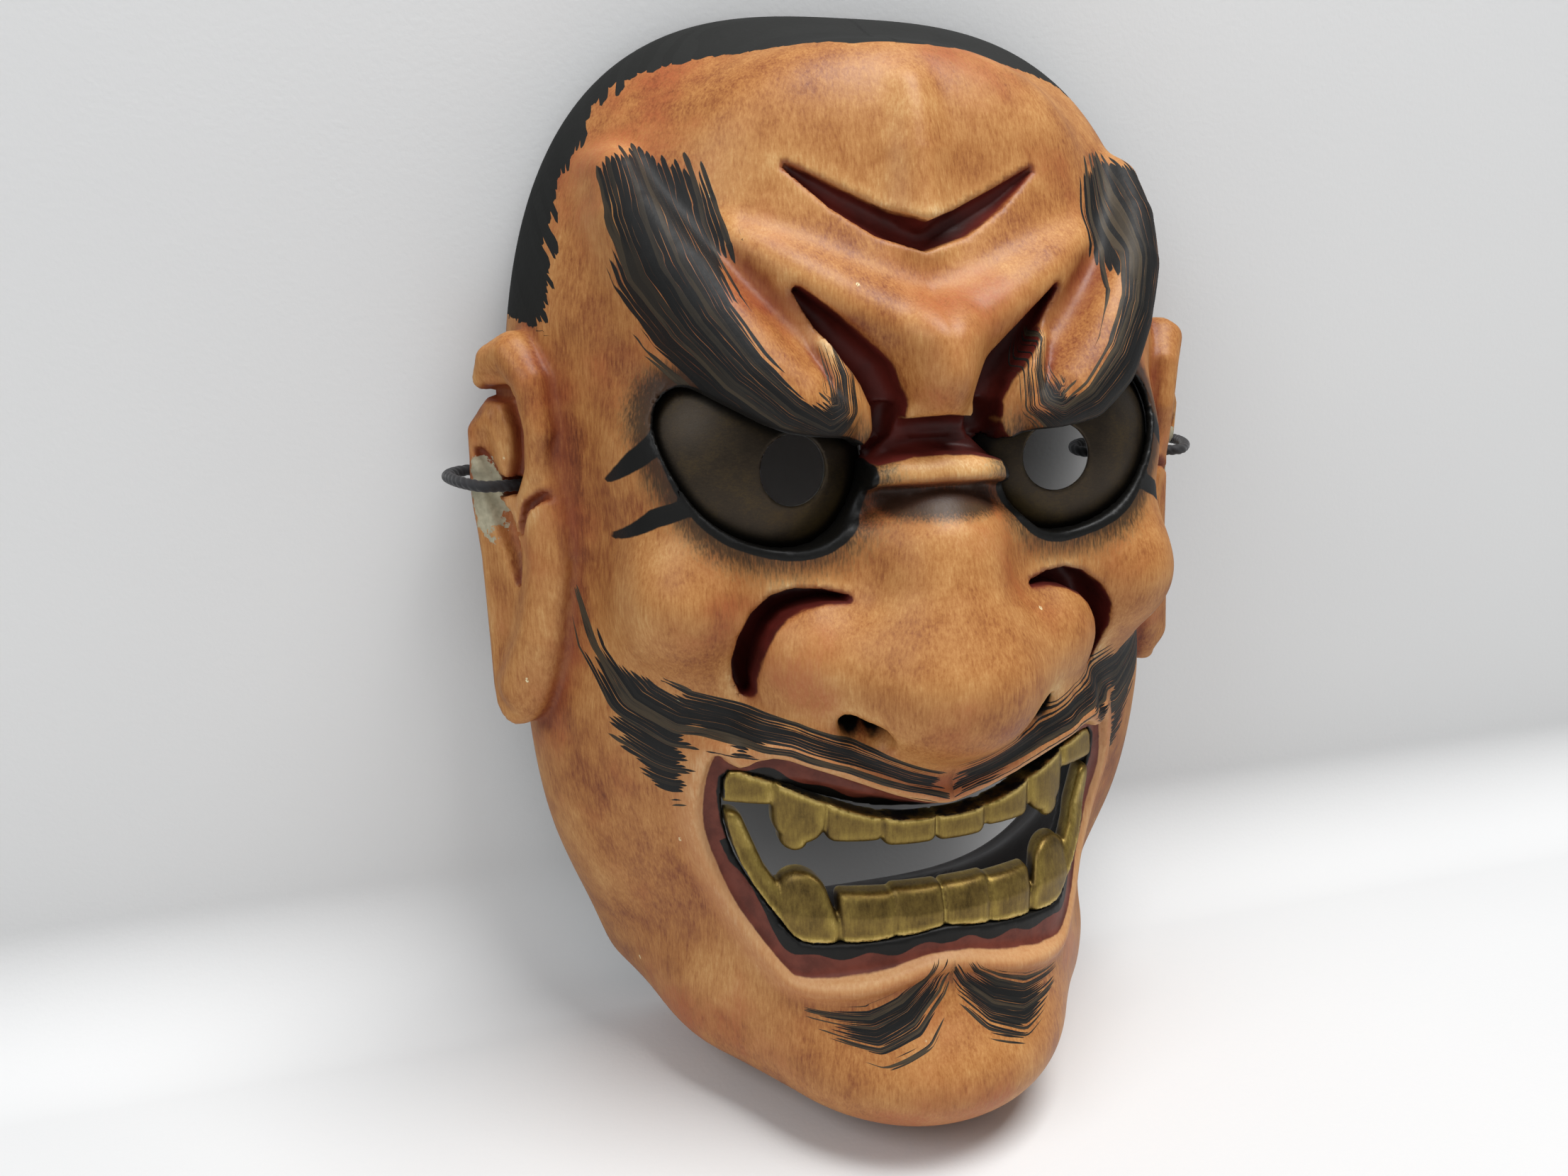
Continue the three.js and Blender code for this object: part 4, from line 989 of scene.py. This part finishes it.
def painted_wood():
    p = Paint("painted_wood_skin", Specular_IOR_Level=0.27)
    wear_and_highlight, hollow_shade = p.field("wear_and_highlight"), p.field("hollow_shade")
    mottle = p.noise(0.05, 5, 0.6)
    blotch = p.noise(0.16, 4, 0.6)
    streak = p.noise(1, 3, 0.65, p.mapped((1.5, 1.2, 0.22), (0, 0.25, 0)))
    hatch = p.noise(1, 2, 0.6, p.mapped((2.6, 2.2, 0.5), (0, -0.5, 0.3)))
    grain = p.noise(3.2, 2, 0.6)
    tone = p.total(0.46, (mottle, 0.95), (blotch, 0.45), (streak, 0.5), (hatch, 0.45), (grain, 0.16))
    # Rubbed wear and painted highlight: the skin is lighter on ridges and edges.
    tone = p.plus(tone, wear_and_highlight, 0.85)
    # Painted shade: the skin is darker in creases and hollows, partly the paint's darker glaze there.
    tone = p.minus(tone, hollow_shade, 0.75, clamp=True)
    skin = p.ramp(tone, (
        (0.0, "#5C2C18"), (0.2, "#884D28"), (0.42, "#A96F3B"), (0.62, "#BC854D"), (0.82, "#CC9C63"),
        (1.0, "#DDBA86")))
    flush = p.times(p.step(p.noise(0.033, 3, 0.6), 0.5, 0.68), p.step(streak, 0.35, 0.6, 0.25, 0.6))
    skin = p.mix(flush, skin, "#A4522F")
    # Painted shade: creases and hollows also turn a darker red-brown.
    flush = p.times(p.step(hollow_shade, 0.2, 0.58), 0.68)
    skin = p.mix(flush, skin, "#7E3A22")
    # Small pale flecks where the colour has chipped to the white ground.
    cells = p.make("ShaderNodeTexVoronoi", {}, {
        "Vector": p.mapped((1, 1, 0.6), (0.3, 0.6, 0)), "Scale": 0.105}, "Distance")
    fleck = p.times(p.step(cells, 0.05, 0.028), p.step(grain, 0.4, 0.5))
    skin = p.mix(fleck, skin, "#EBDDB0")
    chip_noise = p.noise(0.34, 5, 0.65)
    chips = p.step(p.plus(p.field("chips"), chip_noise, 1.6), 1.22, 1.3)
    skin = p.mix(chips, skin, p.mix(p.noise(0.9, 3), "#8C8670", "#C9C0A4"))

    # The smoky edge round the eyes, the rubbed light rim of the lips and the dark red creases.
    smoke = p.step(p.math("ADD", p.field("smoke"), p.swing(hatch, 0.9)), 0.22, 0.95)
    skin = p.mix(p.times(smoke, 0.9), skin, "#211A12")
    lip = p.field("lip")
    skin = p.mix(p.times(p.step(lip, 6.5, 2.5), 0.4), skin, "#B26B45")
    rim = p.times(p.step(lip, 1.7, 0.6), p.step(blotch, 0.2, 0.5, 0.5, 0.9))
    skin = p.mix(p.times(rim, 0.66), skin, p.mix(streak, "#BE8452", "#DDB887"))
    uneven = p.swing(blotch, 0.8)
    red = p.step(p.math("ADD", p.field("red"), uneven), -0.05, 0.28)
    red_coat = p.mix(p.step(mottle, 0.35, 0.65), "#5E2019", "#40140F")
    skin = p.mix(red, skin, red_coat)
    mouth = p.step(p.math("ADD", p.field("mouth"), uneven), -0.1, 0.25)
    mouth_coat = p.mix(p.step(p.noise(0.2, 4, 0.6), 0.35, 0.7), "#6E3527", "#562519")
    skin = p.mix(mouth, skin, mouth_coat)
    gum = p.step(p.plus(p.field("gum"), uneven, 1.2), -0.05, 0.2)

    # Hair in fine brush strokes, each with its own length, that taper to a point at their ends.
    edge, spiky, cap = p.field("hair"), p.field("spiky"), p.field("cap")
    side, along = p.field("side"), p.field("along")
    sway = p.noise(1, 2, 0.5, p.together(p.times(side, 0.5), p.times(along, 0.06)))
    density = p.minus(1.55, cap, 0.75)
    phase = p.plus(p.times(side, density), sway, 2.6)
    bristle = p.make("ShaderNodeTexWhiteNoise", {"noise_dimensions": "1D"}, {
        "W": p.math("FLOOR", phase)}, "Value")
    off_centre = p.times(p.math("ABSOLUTE", p.math("SUBTRACT", p.math("FRACT", phase), 0.5)), 2.0)
    reach = p.times(p.math("SUBTRACT", bristle, 0.55), p.times(spiky, 5.0))
    inked = p.math("ADD", edge, reach)
    wet = p.noise(1, 2, 0.6, p.together(p.times(side, 1.2), p.times(along, 0.09), 3.7))
    width = p.math("MINIMUM", p.times(inked, 0.95), 1.08)
    width = p.plus(width, p.math("SUBTRACT", wet, 0.44), 0.8)
    width = p.plus(width, cap, p.step(inked, 0.5, 3.0, 0.0, 0.7))
    width = p.times(width, p.step(inked, 0.0, 0.6))
    hair = p.step(p.math("SUBTRACT", width, off_centre), 0.0, 0.22)
    hair_coat = p.mix(p.times(bristle, 0.8), "#0A0908", "#191918")
    hair_coat = p.mix(p.times(cap, 0.5), hair_coat, "#1B1C19")
    pale = p.times(p.step(bristle, 0.6, 0.95), p.minus(0.5, cap, 0.5))
    hair_coat = p.mix(p.times(pale, p.step(wet, 0.35, 0.6)), hair_coat, "#5C4D37")
    skin = p.mix(hair, skin, hair_coat)
    line = p.step(p.plus(p.field("line"), uneven, 0.9), 0.0, 0.3)
    black = p.math("MAXIMUM", line, gum)
    skin = p.mix(black, skin, "#0B0A08")

    # Behind the rim the wood is lacquered dark brown over the marks of the gouge.
    outer = p.field("outer")
    marks = p.make("ShaderNodeTexVoronoi", {"feature": "SMOOTH_F1"}, {
        "Vector": p.mapped((1, 1, 0.42)), "Scale": 0.2, "Smoothness": 0.35}, "Distance")
    lining = p.ramp(p.total(0.5, (p.noise(0.12, 5, 0.65), 1.0), (streak, 0.5)), (
        (0.0, "#15100C"), (0.5, "#251912"), (1.0, "#3C291C")))
    coat = p.mix(outer, lining, skin)

    rough = p.total(0.46, (blotch, 0.16), (streak, 0.12))
    rough = p.plus(rough, hair, p.plus(0.12, cap, 0.16))
    rough = p.plus(rough, chips, 0.3)
    relief = p.total(0.0, (streak, 0.5), (hatch, 0.4), (grain, 0.25))
    relief = p.plus(relief, hair, p.plus(0.25, bristle, 0.9))
    relief = p.minus(relief, p.math("ADD", chips, fleck), 1.4)
    relief = p.mix(outer, p.times(marks, 3.0), relief)
    normal = p.bump(relief, 0.55, 0.06)
    normal = p.bump(p.plus(blotch, mottle, 2.0), 0.35, 0.35, normal)
    return p.finished(Base_Color=coat, Roughness=rough, Normal=normal)


def eye_gilt():
    p = Paint("eye_gilt_plate", Metallic=0.62, Specular_IOR_Level=0.4)
    dull = p.noise(0.13, 5, 0.6)
    scratch = p.noise(1, 3, 0.6, p.mapped((1.1, 1.1, 3.4), (0, 0.5, 0)))
    pit = p.noise(2.6, 3, 0.7)
    # Painted light: the plate is paler and more golden low down towards the nose, darker higher up.
    low = p.step(p.field("low"), 0.2, 1.0)
    tone = p.total(0.30, (dull, 0.55), (scratch, 0.25), (pit, 0.2))
    tone = p.plus(tone, low, 0.34, clamp=True)
    coat = p.ramp(tone, ((0.0, "#1E1914"), (0.3, "#3A3024"), (0.6, "#594829"), (1.0, "#9C8240")))
    # Painted shade: a dark band about 2 mm wide next to the lids, where they overhang the plate.
    edge = p.step(p.field("edge"), 2.2, 0.3)
    coat = p.mix(p.times(edge, 0.9), coat, "#12100C")
    rough = p.total(0.45, (dull, 0.2), (scratch, 0.2))
    normal = p.bump(p.total(0.0, (scratch, 0.6), (pit, 0.5)), 0.5, 0.05)
    return p.finished(Base_Color=coat, Roughness=rough, Normal=normal)


def teeth_gilt():
    p = Paint("teeth_gilt_row", Metallic=0.7, Specular_IOR_Level=0.5)
    dull = p.noise(0.22, 5, 0.65)
    brush = p.noise(1, 4, 0.65, p.mapped((1.8, 1.4, 0.35), (0, 0.12, 0)))
    pit = p.noise(3.0, 3, 0.7)
    tone = p.total(0.5, (dull, 0.7), (brush, 0.5), (pit, 0.2))
    # Rubbed gilt and painted highlight: the teeth are lighter on their edges.
    tone = p.plus(tone, p.field("wear_and_highlight"), 0.7)
    # Painted shade: the teeth are darker in the hollows between them.
    tone = p.minus(tone, p.field("hollow_shade"), 0.45, clamp=True)
    coat = p.ramp(tone, (
        (0.0, "#241B0D"), (0.25, "#4C3B1C"), (0.5, "#745E2E"), (0.8, "#97803F"), (1.0, "#C2A862")))
    uneven = p.swing(dull, 1.4)
    gum = p.step(p.math("ADD", p.field("gum"), uneven), -0.05, 0.2)
    coat = p.mix(gum, coat, "#14120F")
    metal = p.times(p.math("SUBTRACT", 1.0, gum), 0.72)
    rough = p.total(0.40, (dull, 0.22), (brush, 0.2))
    normal = p.bump(p.total(0.0, (brush, 0.7), (pit, 0.4)), 0.6, 0.08)
    return p.finished(Base_Color=coat, Metallic=metal, Roughness=rough, Normal=normal)


def cord_fibre():
    p = Paint("black_twisted_cord", Roughness=0.72, Sheen_Weight=0.25, Sheen_Roughness=0.5)
    fibres = p.noise(1, 3, 0.7, p.together(p.times(p.field("strand"), 9.0), p.times(p.field("way"), 0.8)))
    wear_and_highlight = p.noise(0.5, 3, 0.6)
    tone = p.total(0.45, (fibres, 0.8), (wear_and_highlight, 0.4))
    coat = p.ramp(tone, ((0.0, "#0B0A0C"), (0.6, "#1B1A1D"), (1.0, "#34323A")))
    return p.finished(Base_Color=coat, Normal=p.bump(fibres, 0.7, 0.12))


def pale_ground(name, one_sided):
    """A one-sided sheet shows only from its front, so that the mask's back can be looked at through it."""
    p = Paint(name, Roughness=0.9, Specular_IOR_Level=0.2)
    coat = p.mix(p.noise(0.006, 3), "#DEDEDE", "#E6E6E5")
    p.finished(Base_Color=coat, Normal=p.bump(p.noise(0.9, 2), 0.12, 0.3))
    if one_sided:
        behind = p.make("ShaderNodeNewGeometry", {}, {}, "Backfacing")
        clear = p.make("ShaderNodeBsdfTransparent", {}, {})
        shown = p.make("ShaderNodeMixShader", {}, {0: behind, 1: p.shader.outputs[0], 2: clear})
        p.put(p.tree.nodes["Material Output"], "Surface", shown)
    return p.material


# ---- the pieces
wood = painted_wood()
eye_metal = eye_gilt()
teeth_metal = teeth_gilt()
fibre = cord_fibre()


def finish_piece(piece, material, node, slot):
    piece.data.materials.append(material)
    stands_for(piece, node, slot)


body, points = sculpted("carved_mask", carving, (0, -84, -123), (91, 3, 112), GRID, True)
paint_fields(body, points)
finish_piece(body, wood, "mask_body", "painted_wood")

PLATE_THICKNESS = 1.2
PLATE_MARGIN = 2.0
PLATE_CLEARANCE = 0.15
PLATE_BACK = -8
PLATE_REACH = (9, 55)  # its box, outwards from the middle of the face


def plate(side):
    """An eye plate: a thin slice of a sphere, cut to the eye's outline, with a round pupil hole."""
    aim_u, aim_z = PUPIL_AIM[0] - EYE_CENTRE[0], PUPIL_AIM[1] - EYE_CENTRE[2]
    aim = (aim_u, -math.sqrt(EYE_RADIUS**2 - aim_u**2 - aim_z**2), aim_z)
    aim = [a / EYE_RADIUS for a in aim]

    def field(x, y, z):
        u = side * x
        q = (u - EYE_CENTRE[0], y - EYE_CENTRE[1], z - EYE_CENTRE[2])
        orb = np.sqrt(q[0]**2 + q[1]**2 + q[2]**2)
        along = q[0] * aim[0] + q[1] * aim[1] + q[2] * aim[2]
        off = np.sqrt(np.maximum(orb**2 - along**2, 0))
        shell = np.abs(orb - EYE_RADIUS + PLATE_THICKNESS / 2) - PLATE_THICKNESS / 2
        shell = smooth_max(shell, polygon(EYE_ROUND, u, z) - PLATE_MARGIN + PLATE_CLEARANCE, 0.5)
        shell = smooth_max(shell, PUPIL_RADIUS - off, 0.5)
        return np.maximum(shell, y - PLATE_BACK)

    return field


for name, node, side in (("left_eye_plate", "left_eye", -1), ("right_eye_plate", "right_eye", 1)):
    start, end = sorted(side * reach for reach in PLATE_REACH)
    piece, points = sculpted(name, plate(side), (start, -57, 1), (end, -26, 39), PLATE_GRID)
    u, y, z = side * points[:, 0], points[:, 1], points[:, 2]
    add_field(piece, "edge", -polygon(EYE_ROUND, u, z))
    # Painted light: paler and more golden towards the plate's lower inner part.
    add_field(piece, "low", np.clip((20 - z) / 14, 0, 1) * np.clip((36 - u) / 18, 0, 1))
    finish_piece(piece, eye_metal, node, "eye_gilt")


TEETH_DEPTH = 5
TEETH_LIGHT_AND_WEAR_REACH = 1.5  # how far off the surface the teeth's painted highlight and wear, and their painted shade, are measured


def block(centre, half, top, bottom, corner, u, z):
    a = np.abs(u - centre) - half + corner
    b = np.abs(z - (top + bottom) / 2) - (top - bottom) / 2 + corner
    return np.minimum(np.maximum(a, b), 0) + np.hypot(np.maximum(a, 0), np.maximum(b, 0)) - corner


def bead(path, u, z):
    return stroke(path, u, z, np.zeros(u.shape), 0, 0)


def upper_outline(u, z):
    front = smooth_min(block(5.4, 5.7, -40, -55.4, 2, u, z), block(16.2, 5.7, -38, -54.2, 2, u, z), 0.8)
    fang = bead([(26.4, -45, 5.3), (26.6, -49.6, 5), (27.8, -53.6, 2.6)], u, z)
    return smooth_min(smooth_min(front, fang, 1), block(36.6, 5.8, -34, -46.8, 2, u, z), 1)


def lower_outline(u, z):
    front = smooth_min(block(5.1, 5.4, -63, -80, 1.4, u, z), block(15.2, 5.5, -63.6, -80, 1.4, u, z), 0.8)
    fang = bead([(26, -71, 5.6), (27, -64.6, 4.7)], u, z)
    molar = bead([(31, -69, 3.2), (36, -60.5, 2.8), (39, -50.6, 2.1)], u, z)
    return smooth_min(smooth_min(front, fang, 1), molar, 1)


def teeth_row(outline, seams):
    """A row of teeth: its outline swept back from the curved front, each tooth swelling between its seams."""
    def field(x, y, z):
        u = np.abs(x)
        shape = outline(u, z)
        apart = np.min([np.abs(u - seam) for seam in seams], axis=0)
        front = teeth_front(u, z) + 0.1 - 0.55 * np.sqrt(np.clip(apart / 4, 0.02, 1))
        row = smooth_max(shape, np.maximum(front - y, y - teeth_front(u, z) - TEETH_DEPTH), 1.8)
        return np.maximum(row, polygon(GAP_WHOLE, u, z) + 0.3)
    return field


for name, node, outline, seams, low, high in (
    ("upper_teeth_row", "upper_teeth", upper_outline, (0, 10.8, 21.6, 31.4), (0, -68, -61), (44, -38, -37)),
    ("lower_teeth_row", "lower_teeth", lower_outline, (0, 10.1, 20.4, 31.2), (0, -73, -77), (44, -40, -45)),
):
    field = teeth_row(outline, seams)
    piece, points = sculpted(name, field, low, high, TEETH_GRID, True)
    u, y, z = np.abs(points[:, 0]), points[:, 1], points[:, 2]
    normal = facing(field, points, 0.2)
    for key, way in (("wear_and_highlight", -1), ("hollow_shade", 1)):
        off = field(*(points + way * TEETH_LIGHT_AND_WEAR_REACH * normal).T) / TEETH_LIGHT_AND_WEAR_REACH
        add_field(piece, key, np.clip(1 - way * off, 0, 1))
    add_field(piece, "gum", 0.4 + polygon(GAP_WHOLE, u, z))
    finish_piece(piece, teeth_metal, node, "teeth_gilt")

for piece in cord_pieces:
    piece.data.materials.clear()
    piece.data.materials.append(fibre)

# ---- floor, backdrop and light
FLOOR = cad_low[2] - 0.0005
SWEEP = 0.028
LEAN = math.radians(6.2)
WALL_TOP = (0.0015, 0.108)
HALF_WIDTH = 1.6
WALL_LENGTH = 0.8
BEND_STEPS = 26


def staged_sheet(name, profile, material):
    """A wide sheet that follows a line in (y, z)."""
    points = [(x, y, z) for x in (-HALF_WIDTH, HALF_WIDTH) for y, z in profile]
    n = len(profile)
    mesh = bpy.data.meshes.new(name)
    mesh.from_pydata(points, [], [(i + 1, i, n + i, n + i + 1) for i in range(n - 1)])
    mesh.polygons.foreach_set("use_smooth", [True] * (n - 1))
    mesh.materials.append(material)
    sheet = placed(name, mesh)
    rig.stage(sheet)
    return sheet


def backdrop():
    """A pale floor, and behind the mask a pale wall that leans as the mask leans on it."""
    foot = WALL_TOP[0] + (WALL_TOP[1] - FLOOR) * math.tan(LEAN)
    start = foot - SWEEP * math.tan((math.pi / 2 + LEAN) / 2)
    flat = [(-HALF_WIDTH, FLOOR), (start - 0.001, FLOOR), (start, FLOOR)]
    staged_sheet("floor", flat, pale_ground("pale_floor", False))
    profile = [(start, FLOOR), (start + 0.0005, FLOOR)]
    for i in range(1, BEND_STEPS + 1):
        a = (math.pi / 2 + LEAN) * i / BEND_STEPS
        profile.append((start + SWEEP * math.sin(a), FLOOR + SWEEP * (1 - math.cos(a))))
    y, z = profile[-1]
    for up in (0.001, WALL_LENGTH):
        profile.append((y - up * math.sin(LEAN), z + up * math.cos(LEAN)))
    wall = staged_sheet("wall", profile, pale_ground("pale_wall", True))
    wall.visible_shadow = wall.visible_diffuse = wall.visible_glossy = False


def lamp(name, at, target, size, power, warmth=(1, 1, 1)):
    light = bpy.data.lights.new(name, "AREA")
    light.size = size
    light.energy = power
    light.color = warmth
    fitting = placed(name, light)
    fitting.location = at
    fitting.rotation_euler = (Vector(target) - Vector(at)).to_track_quat("-Z", "Y").to_euler()


backdrop()
lamp("ceiling", (0.2, -0.28, 0.92), (0, -0.03, 0), 0.5, 10.8)
lamp("window", (-0.8, -0.5, 0.7), (0, 0, 0), 0.6, 4.0, (0.94, 0.97, 1.0))
world = bpy.data.worlds.new("soft_room")
world.use_nodes = True
world.node_tree.nodes["Background"].inputs[0].default_value = (0.95, 0.97, 1.0, 1)
world.node_tree.nodes["Background"].inputs[1].default_value = 0.3
scene.world = world
scene.view_settings.view_transform = "Standard"

low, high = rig.bounds()
with open("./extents.json", "w") as out:
    out.write(str({"cad": [list(cad_low), list(cad_high)], "visual": [list(low), list(high)]}).replace("'", '"'))
